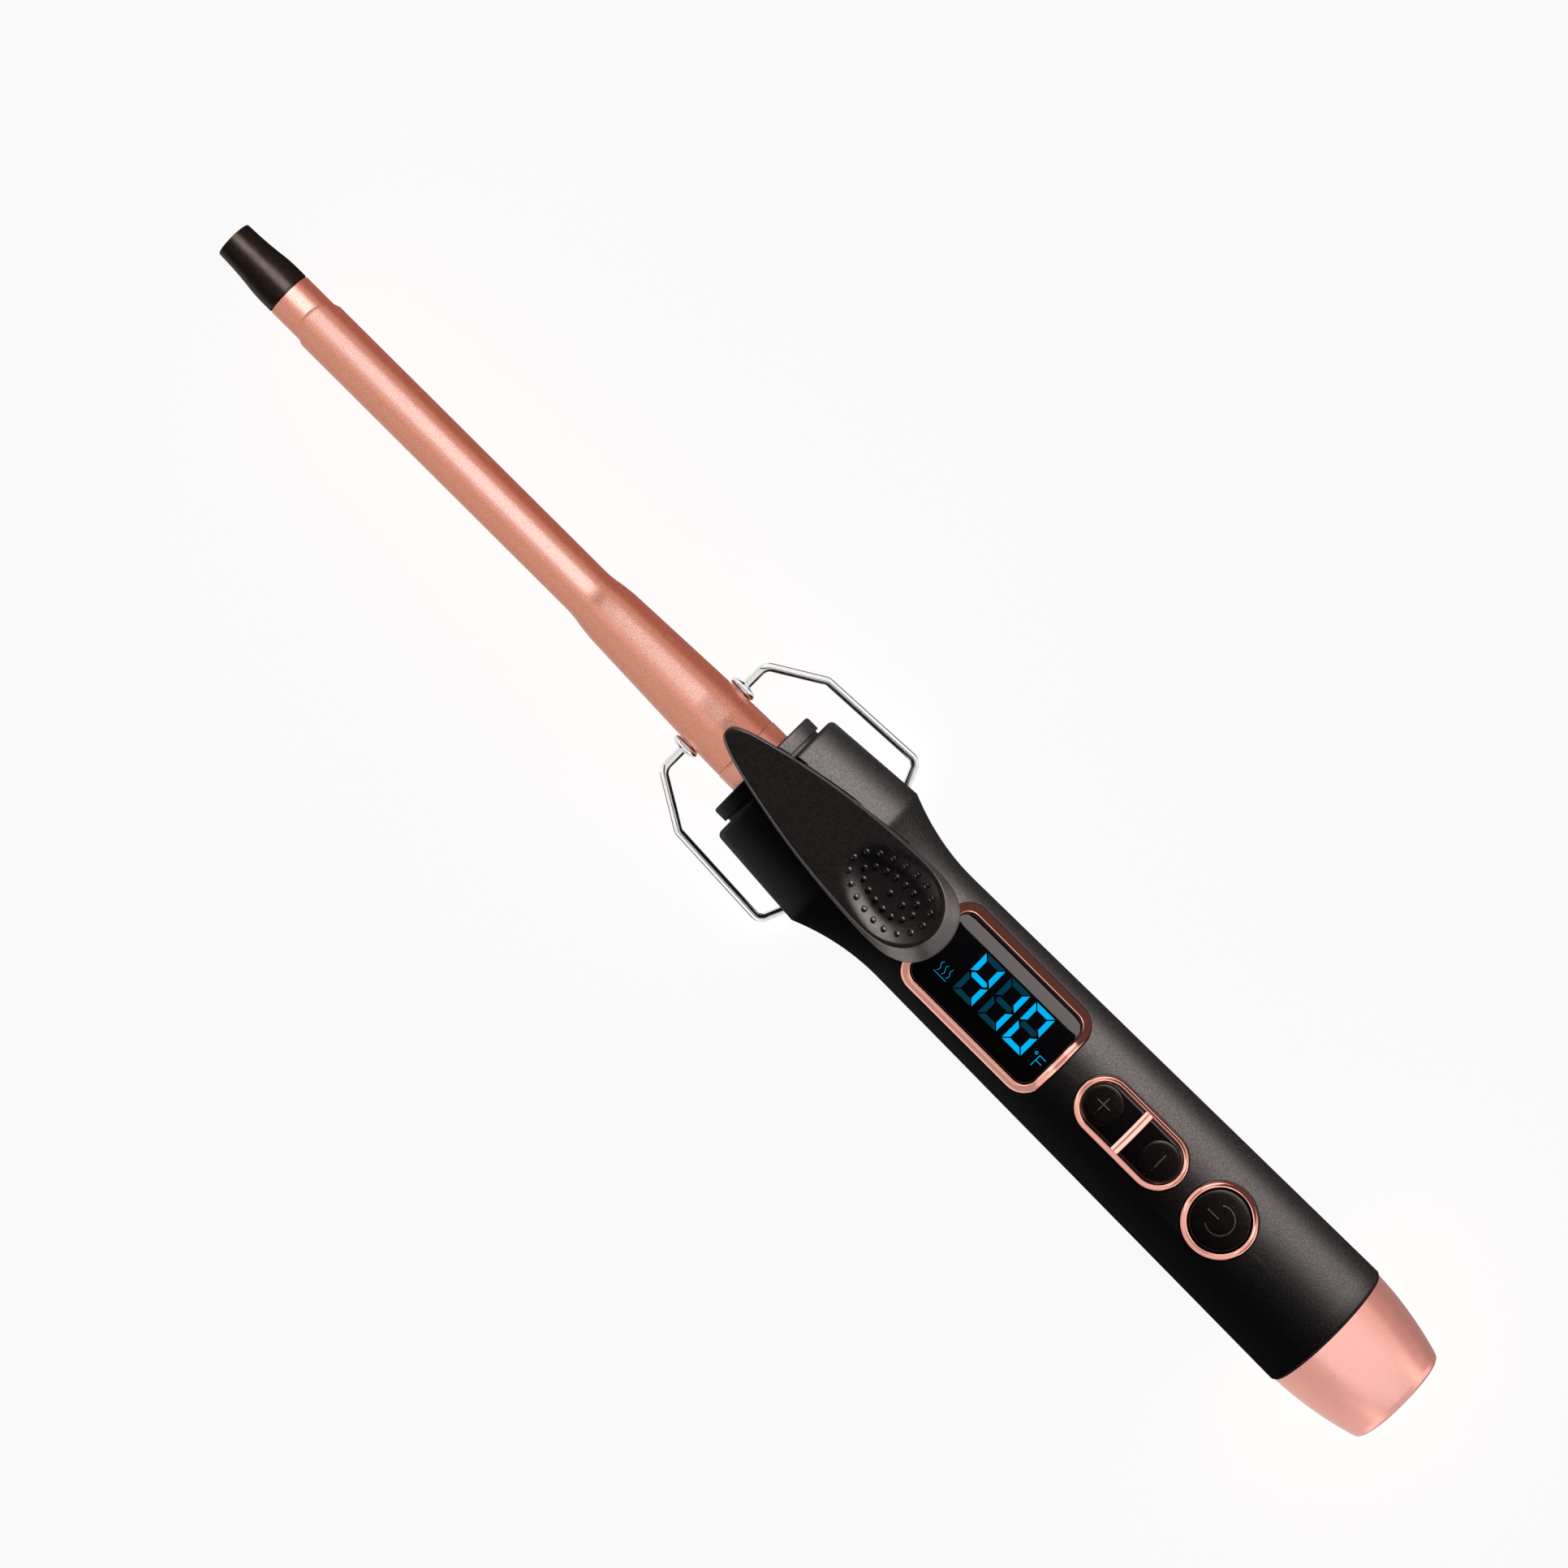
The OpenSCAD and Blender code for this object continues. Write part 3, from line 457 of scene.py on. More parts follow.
def plate(corners, low, high, step=0.4):
    """A thin plate over a convex outline on the handle's surface, made in rows across it."""
    edges = list(zip(corners, corners[1:] + corners[:1]))
    marks = sorted({round(y, 4) for _, y in corners})
    ys = [marks[0]]
    for a, b in zip(marks, marks[1:]):
        count = max(int((b - a) / step), 1)
        ys += [a + (b - a) * k / count for k in range(1, count + 1)]
    rings = []
    for y in ys:
        xs = []
        for (ax, ay), (bx, by) in edges:
            if min(ay, by) - 1e-4 <= y <= max(ay, by) + 1e-4:
                xs += [ax, bx] if abs(by - ay) < 1e-6 else [ax + (bx - ax) * (y - ay) / (by - ay)]
        x0, x1 = min(xs), max(xs)
        if x1 - x0 < 0.02:
            x0, x1 = (x0 + x1) / 2 - 0.01, (x0 + x1) / 2 + 0.01
        section = ((x0, low), (x0, high), (x1, high), (x1, low))
        rings.append([on_handle(x, y, grow) for x, grow in section])
    return solid(rings)


def arc(cx, cy, r, a0, a1, n=24):
    angles = [math.radians(a0 + (a1 - a0) * k / n) for k in range(n + 1)]
    return [(cx + r * math.cos(a), cy + r * math.sin(a)) for a in angles]


def tube(path, r, sides=24):
    """A round tube along 3-D points in millimetres."""
    pts = [Vector(p) for p in path]
    along = (pts[1] - pts[0]).normalized()
    side = along.orthogonal().normalized()
    rings = []
    for i, p in enumerate(pts):
        d = (pts[min(i + 1, len(pts) - 1)] - pts[max(i - 1, 0)]).normalized()
        side = (side - d * side.dot(d)).normalized()
        up = d.cross(side)
        rings.append([p + (side * c + up * s) * r for c, s in around(sides)])
    return solid(rings)


def cut(obj, verts, faces):
    """Takes a closed volume out of a piece."""
    tool = piece("tool", verts, faces, part_black, "handle", "part_black")
    mod = obj.modifiers.new("cut", "BOOLEAN")
    mod.operation = "DIFFERENCE"
    mod.solver = "EXACT"
    mod.object = tool
    bpy.context.view_layer.update()
    mesh = bpy.data.meshes.new_from_object(
        obj.evaluated_get(bpy.context.evaluated_depsgraph_get())
    )
    obj.modifiers.remove(mod)
    old = obj.data
    obj.data = mesh
    bpy.data.meshes.remove(old)
    used = tool.data
    bpy.data.objects.remove(tool)
    bpy.data.meshes.remove(used)


def finish_cut(obj, surface, sharp=30):
    """Gives a cut piece one material and smooth shading again."""
    mesh = obj.data
    while len(mesh.materials) > 1:
        mesh.materials.pop()
    mesh.materials[0] = surface.mat
    for p in mesh.polygons:
        p.material_index = 0
        p.use_smooth = True
    mesh.set_sharp_from_angle(angle=math.radians(sharp))


# ---------- Barrel ----------

piece(
    "heatproof_tip",
    *lathe(
        [(0.12, 0.0), (0.12, 2.6)]
        + fillet([(0.12, 2.6), (0.0, 2.9, 0.2), (0.0, 3.93, 0.28), (3.2, 4.05), (5.5, 4.2)])[1:]
        + [(7.8, 4.42), (9.2, 4.60), (10.4, 4.71), (12.0, 4.78)]
        + fillet([
            (12.4, 4.79), (TIP_L - 0.35, 4.8, 0.1), (TIP_L - 0.35, 4.45), (TIP_L - 0.05, 4.45),
        ])
        + [(TIP_L - 0.05, 0.0)]
    ),
    tip_black, "handle", "tip_plastic", ["cool_tip"],
)
piece(
    "barrel",
    *lathe(
        fillet([(TIP_L + 8, 4.0), (TIP_L, 4.0, 0.1), (TIP_L, BARREL_R, 0.15), (60, BARREL_R)])
        + [(x, BARREL_R) for x in (90, 120, 150)]
        + fillet([
            (154, BARREL_R), (FRONT_X + 11, BARREL_R, 0.1), (FRONT_X + 11, 4.0, 0.1), (150, 4.0),
        ])
        + [(TIP_L + 8, 4.0)]
    ),
    copper_satin, "handle", "copper", ["barrel_tube"],
)

# ---------- Clamp ----------

UNDER_SLOPE = math.radians(17)


def lever_under(u):
    """Height of the lever's underside above the axis, u behind the pivot."""
    return 10.3 + (u - 3.6) * math.tan(UNDER_SLOPE)


CLAMP_R = BARREL_R + 0.05 + SHEET
# x, half-width and top of the clamp's arch above the axis
CLAMP_STATIONS = [
    (CLAMP_X0, CLAMP_R, CLAMP_R), (FLARE_X, CLAMP_R, CLAMP_R),
    (FLARE_X + 1.6, CLAMP_R + 0.12, CLAMP_R + 0.14), (FLARE_X + 3.4, 5.68, 5.78),
    (FLARE_X + 6.5, 6.04, 6.19), (PIVOT_X - 3.7, 6.97, 8.78),
    (PIVOT_X + 2, 7.11, lever_under(2) - 0.02), (PIVOT_X + 8.4, 7.24, lever_under(8.4) - 0.02),
]
EAR_R = 3.5
NOSE_L = 3.6
REAR_ARC = 8.4  # the sides' rear edge is round about the pivot, and straight above STEP_Z
STEP_Z = 5.6


def clamp_at(x):
    """Half-width and top of the clamp at x."""
    for a, b in zip(CLAMP_STATIONS, CLAMP_STATIONS[1:]):
        if x <= b[0]:
            t = max((x - a[0]) / (b[0] - a[0]), 0)
            return a[1] + (b[1] - a[1]) * t, a[2] + (b[2] - a[2]) * t
    return CLAMP_STATIONS[-1][1:]


def clamp_foot(x):
    """Height of the clamp's lower edge at x: its ears reach below the axis at the pivot."""
    d = abs(x - PIVOT_X)
    return 0.0 if d >= EAR_R else -math.sqrt(EAR_R * EAR_R - d * d)


def clamp_sheet(stations=150, arch_n=56, leg_n=8):
    """The sheet's outer face: lines along the clamp, from its round nose to its rear edge."""
    rows = []
    for i in range(stations + 1):
        s = i / stations
        row = []
        for k in range(arch_n + 1 + 2 * leg_n):
            if k < leg_n:
                side, a, leg = 1, 0.0, 1 - k / leg_n
            elif k > leg_n + arch_n:
                side, a, leg = -1, math.pi, (k - leg_n - arch_n) / leg_n
            else:
                side, a, leg = 0, math.pi * (k - leg_n) / arch_n, 0.0
            across = math.cos(a)
            x0 = CLAMP_X0 + NOSE_L * (1 - math.sqrt(max(1 - (0.985 * across) ** 2, 0)))
            rear_w, rear_top = clamp_at(PIVOT_X + REAR_ARC)
            rear_rise = rear_top - rear_w
            level = rear_rise * (1 - leg) + rear_w * math.sin(a) * (side == 0)
            x1 = PIVOT_X + (REAR_ARC if level > STEP_Z else math.sqrt(REAR_ARC ** 2 - level ** 2))
            x = x0 + (x1 - x0) * s
            w, top = clamp_at(x)
            rise = max(top - w, 0.0)
            foot = clamp_foot(x)
            if side == 0:
                z = rise + (top - rise) * math.sin(a)
                row.append((x, w * across, z))
            else:
                row.append((x, side * w, rise + (foot - rise) * leg))
        rows.append(row)
    return rows


def resampled(line, trim, count):
    """Points at equal steps along a line, from trim after its start to trim before its end."""
    run = [0.0]
    for p, q in zip(line, line[1:]):
        run.append(run[-1] + (q - p).length)
    out, i = [], 0
    for k in range(count):
        at = trim + (run[-1] - 2 * trim) * k / (count - 1)
        while i < len(line) - 2 and run[i + 1] < at:
            i += 1
        out.append(line[i].lerp(line[i + 1], (at - run[i]) / max(run[i + 1] - run[i], 1e-9)))
    return out


def rolled_sheet(rows, thick, count=84, turns=5):
    """A sheet below rows of points on its outer face, with round edges on all four sides."""
    r = thick / 2
    rows = [resampled([Vector(p) for p in row], r, count) for row in rows]
    last_row, last = len(rows) - 1, count - 1

    def across(v, along):
        """v made square to along."""
        along = along.normalized()
        return (v - along * v.dot(along)).normalized()

    rings = []
    for i, row in enumerate(rows):
        after, before = rows[min(i + 1, last_row)], rows[max(i - 1, 0)]
        normals = [
            (row[min(k + 1, last)] - row[max(k - 1, 0)]).cross(after[k] - before[k]).normalized()
            for k in range(count)
        ]
        first_out = across(row[0] - row[1], after[0] - before[0])
        last_out = across(row[last] - row[last - 1], after[last] - before[last])
        middles = [p - n * r for p, n in zip(row, normals)]
        ring = [(k, normals[k]) for k in range(count)]
        half_turn = [math.pi * t / turns for t in range(1, turns)]
        ring += [(last, normals[last] * math.cos(f) + last_out * math.sin(f)) for f in half_turn]
        ring += [(k, -normals[k]) for k in range(last, -1, -1)]
        ring += [(0, -normals[0] * math.cos(f) + first_out * math.sin(f)) for f in half_turn]
        if 0 < i < last_row:
            rings.append([middles[k] + m * r for k, m in ring])
            continue
        inwards = rows[1] if i == 0 else rows[last_row - 1]
        outs = [
            across(row[k] - inwards[k], row[min(k + 1, last)] - row[max(k - 1, 0)])
            for k in range(count)
        ]
        steps = [math.pi / 2 * t / 3 for t in range(4)]
        for f in reversed(steps) if i == 0 else steps:
            rings.append([
                middles[k] - outs[k] * r + (m * math.cos(f) + outs[k] * math.sin(f)) * r
                for k, m in ring
            ])
    return loft(rings)


piece(
    "spring_clamp", *rolled_sheet(clamp_sheet(), SHEET), copper_satin, "clamp", "copper", ["clamp"],
    sharp=60,
)

# ---------- Pivot bosses and stand ----------


def about_pivot(u, w, z, turn):
    """The point u behind and z above the pivot, turned down at the rear by turn."""
    c, s = math.cos(turn), math.sin(turn)
    return PIVOT_X + u * c + z * s, w, z * c - u * s


def about_y(profile, side, segs=64):
    """Turns (y, r) points about the pivot's axis."""
    return loft([[(PIVOT_X + r * c, side * y, r * s) for c, s in around(segs)] for y, r in profile])


BOSS = [(5.2, 1.0), (5.2, 1.96), (7.14, 1.98), (7.16, 2.3), (7.25, 2.5)] + fillet(
    [(7.25, 2.4), (7.4, 2.95, 0.5), (8.3, 2.95, 0.8), (8.9, 1.9, 0.6), (8.9, 1.2, 0.1), (8.6, 1.0)]
)[1:] + [(5.2, 1.0)]
for side, word in ((1, "left"), (-1, "right")):
    piece(
        f"pivot_boss_{word}", *about_y(BOSS, side), chrome_wire, "handle", "chrome",
        ["pivot_eyelets"] if side > 0 else [], sharp=50,
    )

STAND_L = 43.0
WIRE_R = 0.92
FOLD = math.asin((RIDGE_R + WIRE_R + 0.3) / STAND_L)
BEND_R = 2.4


def stand_path():
    """The wire's middle line, folded against the handle."""
    half = [(0, 5.3), (0, 14), (STAND_L * 0.27, 20.5), (STAND_L * 0.87, 21.9), (STAND_L, 10)]
    corners = half + [(x, -y) for x, y in reversed(half)]
    path = [corners[0], (0, 8.0), (0, 10.5)]
    for before, p, after in zip(corners, corners[1:], corners[2:]):
        p, before, after = Vector(p), Vector(before), Vector(after)
        a, b = (before - p).normalized(), (after - p).normalized()
        turn = math.pi - a.angle(b)
        if turn < 1e-4:
            path.append(tuple(p))
            continue
        back = BEND_R * math.tan(turn / 2)
        start, end = p + a * back, p + b * back
        steps = max(int(math.degrees(turn) / 5), 3)
        # a circular arc by equal turns about the bend's centre
        centre = p + (a + b).normalized() * (BEND_R / math.cos(turn / 2))
        v0, v1 = start - centre, end - centre
        whole = v0.angle(v1)
        for k in range(steps + 1):
            t = k / steps
            q = (v0 * math.sin((1 - t) * whole) + v1 * math.sin(t * whole)) / math.sin(whole)
            path.append(tuple(centre + q))
    path += [(0, -10.5), (0, -8.0), corners[-1]]
    return [about_pivot(u, v, 0, FOLD) for u, v in path]


piece(
    "folding_stand", *tube(stand_path(), WIRE_R), chrome_wire, "stand", "chrome", ["stand_wire"],
    sharp=60,
)

# ---------- Lever ----------

TOP_SLOPE = math.radians(19.5)
DISH_U, DISH_DEEP = 48.0, 1.9  # the dish's place behind the pivot, and its depth
# (distance behind the pivot, half-width) round half of the lever's underside and top face
UNDER_EDGE = [
    (3.42, 0), (3.62, 0.95), (4.25, 1.72), (5.55, 2.42), (8.0, 3.3), (12.0, 4.36), (17.7, 5.62),
    (25.4, 7.02), (33.0, 8.07), (40.6, 8.8), (46.0, 9.18), (51.0, 9.28), (54.6, 8.95),
    (57.6, 7.75), (59.8, 5.75), (61.1, 3.0), (61.5, 0),
]
TOP_EDGE = [
    (3.95, 0), (4.1, 0.8), (4.6, 1.4), (5.8, 2.06), (8.0, 2.9), (12.0, 3.98), (17.7, 5.22),
    (25.4, 6.62), (33.0, 7.6), (40.6, 8.22), (46.0, 8.5), (50.0, 8.35), (53.2, 7.5), (55.6, 5.9),
    (57.1, 3.95), (57.9, 2.0), (58.2, 0),
]


def smooth_line(points, per=6):
    """Catmull-Rom through points, mirrored at the ends across the lever's middle."""
    p = [(points[1][0], -points[1][1])] + points + [(points[-2][0], -points[-2][1])]
    out = []
    for i in range(1, len(p) - 2):
        for k in range(per):
            t = k / per
            out.append(tuple(
                0.5 * (2 * p[i][j] + (p[i + 1][j] - p[i - 1][j]) * t
                       + (2 * p[i - 1][j] - 5 * p[i][j] + 4 * p[i + 1][j] - p[i + 2][j]) * t * t
                       + (3 * p[i][j] - p[i - 1][j] - 3 * p[i + 1][j] + p[i + 2][j]) * t ** 3)
                for j in (0, 1)
            ))
    out.append(points[-1])
    return out


def whole_outline(points):
    half = smooth_line(points)
    return half + [(u, -w) for u, w in reversed(half[1:-1])]


def lever_top(u):
    return 12.5 + (u - 3.6) * math.tan(TOP_SLOPE)


def step01(t):
    t = min(max(t, 0.0), 1.0)
    return t * t * (3 - 2 * t)


def dish_depth(u, y):
    """Depth of the thumb's dish: its wall starts softly in front and sharply at the rear."""
    reach = 11.8 if u < DISH_U else 9.5
    rho = math.hypot((u - DISH_U) / reach, y / 7.9)
    inwards = min(max((1.0 - rho) / 0.5, 0.0), 1.0)
    sharp = step01((u - DISH_U) / reach + 0.35)
    wall = step01(inwards) * (1 - sharp) + math.sin(inwards * math.pi / 2) * sharp
    return DISH_DEEP * (0.85 * wall + 0.15 * max(1.0 - rho * rho, 0.0))


under = whole_outline(UNDER_EDGE)
top = whole_outline(TOP_EDGE)
LIFT = 0.15


def lever_ring(t, shrink=1.0):
    """A ring of the lever's side wall: t = 0 at the underside and 1 at the top face."""
    ring = []
    for (u0, w0), (u1, w1) in zip(under, top):
        u, w = u0 + (u1 - u0) * t, w0 + (w1 - w0) * t
        u, w = DISH_U + (u - DISH_U) * shrink, w * shrink
        low, high = lever_under(u0) + LIFT, lever_top(u1)
        ring.append((PIVOT_X + u, w, low + (high - low) * t))
    return ring


def lever_face(outline, scale, height):
    """A ring of a face of the lever: the outline drawn in towards the dish."""
    ring = [(DISH_U + (u - DISH_U) * scale, w * scale) for u, w in outline]
    return [(PIVOT_X + u, w, height(u, w)) for u, w in ring]


def lever_mesh(loops=70):
    rings = [
        lever_face(under, scale, lambda u, w: lever_under(u) + LIFT)
        for scale in (0.0, 0.3, 0.6, 0.85, 0.97)
    ]
    rings += [lever_ring(0.0, 0.992), lever_ring(0.04, 0.998), lever_ring(0.10)]
    rings += [lever_ring(t) for t in (0.3, 0.5, 0.7, 0.86)]
    rings += [lever_ring(0.93, 0.999), lever_ring(0.975, 0.996)]
    rings += [
        lever_face(top, 0.990 * (1 - k / loops), lambda u, w: lever_top(u) - dish_depth(u, w))
        for k in range(loops + 1)
    ]
    return loft(rings)


piece("thumb_lever", *lever_mesh(), lever_black, "clamp", "lever_plastic", ["lever"], sharp=50)


def dome(u, y, r=0.62, high=0.5, n=20):
    """One grip bump on the dish."""
    rings, sunk = [], 0.08
    for k in range(6):
        a = math.radians(90 * k / 5)
        rings.append([])
        for c, s in around(n):
            pu, py = u + r * math.cos(a) * c, y + r * math.cos(a) * s
            z = lever_top(pu) - dish_depth(pu, py) - sunk + (high + sunk) * math.sin(a)
            rings[-1].append((PIVOT_X + pu, py, z))
    return loft(rings, cap_start=True)


def egg(count, widest, front, rear, half_width):
    """Points at equal steps along an egg: two half ellipses that meet where it is widest."""
    line = []
    for k in range(721):
        a = math.pi * 2 * k / 720
        reach = rear if math.cos(a) > 0 else front
        line.append(Vector((widest + reach * math.cos(a), half_width * math.sin(a))))
    steps = [(b - a).length for a, b in zip(line, line[1:])]
    pitch, run, points = sum(steps) / count, 0.0, []
    for p, step in zip(line, steps):
        if run >= len(points) * pitch - 1e-9:
            points.append(tuple(p))
        run += step
    return points[:count]


bumps = [dome(47.0, 0), dome(50.2, 0)]
bumps += [dome(*p) for p in egg(18, 49.3, 11.7, 6.1, 5.8)]
bumps += [dome(*p) for p in egg(14, 49.3, 8.9, 3.5, 3.15)]
piece("lever_grip_bumps", *merged(*bumps), grip_black, "clamp", "lever_plastic", sharp=60)

# ---------- Collar and handle shells ----------


def lever_room(turn, grow=0.5, drop=0.5):
    """The room of the lever's outline, grown and dropped a little, turned about the pivot."""
    rings = []
    for high in (0.0, 30.0):
        ring = []
        for i, (u, w) in enumerate(under):
            a, b = under[i - 1], under[(i + 1) % len(under)]
            d = Vector((b[0] - a[0], b[1] - a[1])).normalized()
            z = lever_under(u - d.y * grow) - drop + high
            ring.append(about_pivot(u - d.y * grow, w + d.x * grow, z, turn))
        rings.append(ring)
    return solid(rings)


def screw_room(u, r=2.1):
    """The room of a screw's head under the pressed lever."""
    rise, run = math.sin(UNDER_SLOPE), math.cos(UNDER_SLOPE)
    rings = []
    for high in (-1.5, 2.5):
        ring = []
        for c, w in around(32):
            x, z = u + r * c * run - high * rise, lever_under(u) + r * c * rise + high * run
            ring.append(about_pivot(x, r * w, z, PRESS))
        rings.append(ring)
    return solid(rings)


collar_profile = fillet([
    (REACH + 2, 7.45), (REACH, 7.45, 0.3), (REACH, COLLAR_R, 0.5), (REACH + 3.05, COLLAR_R, 0.2),
    (REACH + 3.05, COLLAR_R - 0.7), (FRONT_X - 0.02, COLLAR_R - 0.7), (FRONT_X - 0.02, 11.0),
    (FRONT_X + 3.4, 11.0, 0.2), (FRONT_X + 3.4, 7.45, 0.2), (REACH + 2, 7.45),
])
collar = piece(
    "collar_ring", *lathe(collar_profile), soft_black, "handle", "soft_black", ["collar"],
)
for turn in (0.0, PRESS / 2, PRESS):
    cut(collar, *lever_room(turn))
cut(collar, *screw_room(14))
finish_cut(collar, soft_black)


def ramp(x0, x1, n):
    """Points on the handle's outer line."""
    return [(x, handle_r(x)) for x in (x0 + (x1 - x0) * k / n for k in range(n + 1))]


SPIGOT_R = 12.0  # the shells' rear end goes into the cap
MOUTH_R = 11.1
front = [(FRONT_X, MOUTH_R), (FRONT_X, FRONT_R, 1.25), (FRONT_X + 6, handle_r(FRONT_X + 6))]
outer = (
    fillet(front, 8)[:-1]
    + ramp(FRONT_X + 3, RIDGE_X - 0.35, 12)
    + ramp(RIDGE_X + 0.35, WAIST_X, 28)
    + ramp(WAIST_X + 6, REAR_X - 4, 14)
    + fillet([
        (REAR_X - 3, handle_r(REAR_X - 3)), (REAR_X, REAR_R, 0.6), (REAR_X, SPIGOT_R),
        (REAR_X + 6, SPIGOT_R),
    ])
)
inner = [
    (REAR_X + 6, SPIGOT_R - 2.8), (REAR_X - 1, SPIGOT_R - 2.8), (REAR_X - 4, REAR_R - WALL - 0.3),
] + [(x, r - WALL) for x, r in reversed(ramp(RIDGE_X, REAR_X - 12, 16))] + [
    (FRONT_X + WALL, FRONT_R - WALL), (FRONT_X + WALL, MOUTH_R),
]
SEAM = 0.02  # half of the seam between the shells, in degrees of turn
upper = piece(
    "handle_upper", *half_lathe(outer + inner, SEAM, 180 - SEAM), soft_black, "handle",
    "soft_black", ["upper_shell"],
)
for turn in (0.0, PRESS / 2, PRESS):
    cut(upper, *lever_room(turn))


def prism(outline, low=4.0, high=30.0, grow=0.1):
    """An upright hole with that outline, a little wider."""
    rings = [[(x - nx * grow, y - ny * grow, z) for x, y, nx, ny in outline] for z in (low, high)]
    return solid(rings)


display_line = rrect(BEZEL_X, BEZEL_L, BEZEL_W, 4.5)
keys_line = rrect(KEYS_X, KEYS_L, KEYS_W, KEYS_W / 2 - 0.01, 16)
power_line = circle(POWER_X, POWER_R + RING_W)
for line in (display_line, keys_line, power_line):
    cut(upper, *prism(line))
finish_cut(upper, soft_black, 32)


def recess_floor():
    """The floor under the lever's recess, in the plane of the pressed lever's underside."""
    rings = []
    for drop, scale in ((1.7, 0.0), (1.7, 1.05), (0.62, 1.05), (0.62, 0.0)):
        ring = []
        for u, w in under:
            u = DISH_U + (u - DISH_U) * scale
            x, w, z = about_pivot(u, w * scale, lever_under(u) - drop, PRESS)
            x = min(max(x, FRONT_X + 0.4), RIDGE_X + 12)
            ring.append((x, w, min(z, math.sqrt(max((handle_r(x) - 0.5) ** 2 - w * w, 1)))))
        rings.append(ring)
    return loft(rings)


piece("recess_floor", *recess_floor(), soft_black, "handle", "soft_black")

# ---------- Display ----------


def band_profile(width, slope, dip=0.03, high=0.60):
    """A band's section: a flat top, lowered by dip, between two rounded slopes."""
    outer = [
        (0.0, -1.2), (0.0, 0.14), (0.05, 0.28), (slope * 0.35, 0.46), (slope * 0.65, 0.57),
        (slope, high), (slope + 0.12, high - dip),
    ]
    inner = [(width - i, h) for i, h in reversed(outer)]
    return outer + inner + [(0.0, -1.2)]


BAND_PROFILE = band_profile(BAND, 0.5, 0.05)
piece(
    "display_frame", *pad(display_line, BAND_PROFILE), bezel_gloss, "handle", "bezel_copper",
    ["display_bezel"], sharp=50,
)
GLASS = 0.15  # the glass's height above the handle's surface
GLASS_PROFILE = [(0.0, -1.2), (0.0, 0.08), (0.1, 0.13), (0.3, GLASS)]
window_line = rrect(BEZEL_X, BEZEL_L - 2 * BAND + 0.02, BEZEL_W - 2 * BAND + 0.02, 2.85)
piece(
    "display_glass", *pad(window_line, GLASS_PROFILE, BEZEL_X, 24), glass_black, "handle",
    "window_black", ["display_window"],
)

DIGIT_W, DIGIT_H, BAR = 5.05, 9.55, 1.1  # a digit's outer size and the width of its bars
DIGIT_Y = 0.18
DIGIT_X = (REAR_X - 95.25, REAR_X - 88.6, REAR_X - 82.0)
HALF_GAP = 0.2
SUNK = 0.02  # how far the marks reach into the glass


def digit_bars():
    """Outlines of the seven bars about the digit's middle, mitred where they meet."""
    w, h, t, g = DIGIT_W / 2, DIGIT_H / 2, BAR, HALF_GAP
    top = [(-w + g, h), (w - g, h), (w - t - g, h - t), (-w + t + g, h - t)]
    upright = [(w, h - g), (w, g), (w - t, t * 0.85 + g), (w - t, h - t - g)]
    point, n = w - 0.5, t / 2
    middle = [
        (-point, 0), (-point + n, n), (point - n, n), (point, 0), (point - n, -n), (-point + n, -n),
    ]

    def flipped(outline, sx, sy):
        return [(sx * x, sy * y) for x, y in outline]

    return {
        "top": top, "middle": middle, "bottom": flipped(top, 1, -1),
        "upper_right": upright, "upper_left": flipped(upright, -1, 1),
        "lower_right": flipped(upright, 1, -1), "lower_left": flipped(upright, -1, -1),
    }


LIT = (
    ("upper_left", "middle", "upper_right", "lower_right"),
    ("upper_right", "lower_right"),
    ("top", "bottom", "upper_left", "upper_right", "lower_left", "lower_right"),
)
on, off = [], []
for x, lit in zip(DIGIT_X, LIT):
    for word, outline in digit_bars().items():
        placed = [(x + u, DIGIT_Y + v) for u, v in outline]
        if word in lit:
            on.append(plate(placed, GLASS - SUNK, GLASS + 0.03))
        else:
            off.append(plate(placed, GLASS - SUNK, GLASS + 0.02))


def thin_line(points, width):
    return stroke(points, width, GLASS - SUNK, GLASS + 0.03, 0.02, 0.25)


# three heat waves over a line
ICON_X, ICON_Y, ICON_LINE = REAR_X - 101.1, -3.1, 0.1
WAVE_H, WAVE_SWING, WAVE_STEPS = 2.1, 0.24, 12
for wave_x in (ICON_X - 1.19, ICON_X, ICON_X + 1.19):
    wave = [
        (wave_x + WAVE_SWING * math.sin(2 * math.pi * t), ICON_Y - 1.0 + WAVE_H * t)
        for t in (k / WAVE_STEPS for k in range(WAVE_STEPS + 1))
    ]
    on.append(thin_line(wave, ICON_LINE))
on.append(thin_line([(ICON_X - 1.6, ICON_Y - 1.45), (ICON_X + 1.6, ICON_Y - 1.45)], ICON_LINE))
# the degree ring and unit mark
UNIT_X, UNIT_Y = REAR_X - 76.9, -3.1
on.append(thin_line(arc(UNIT_X - 0.85, UNIT_Y + 1.15, 0.26, 0, 360), 0.13))
for a, b in (((0, 1.3), (0, -1.3)), ((0, 1.2), (1.55, 1.2)), ((0, 0.05), (1.45, 0.05))):
    on.append(thin_line([(UNIT_X + a[0], UNIT_Y + a[1]), (UNIT_X + b[0], UNIT_Y + b[1])], 0.16))
piece("digits_lit", *merged(*on), lcd_on, "handle", "lcd", sharp=30)
piece("digits_unlit", *merged(*off), lcd_off, "handle", "lcd", sharp=30)

# ---------- Buttons ----------

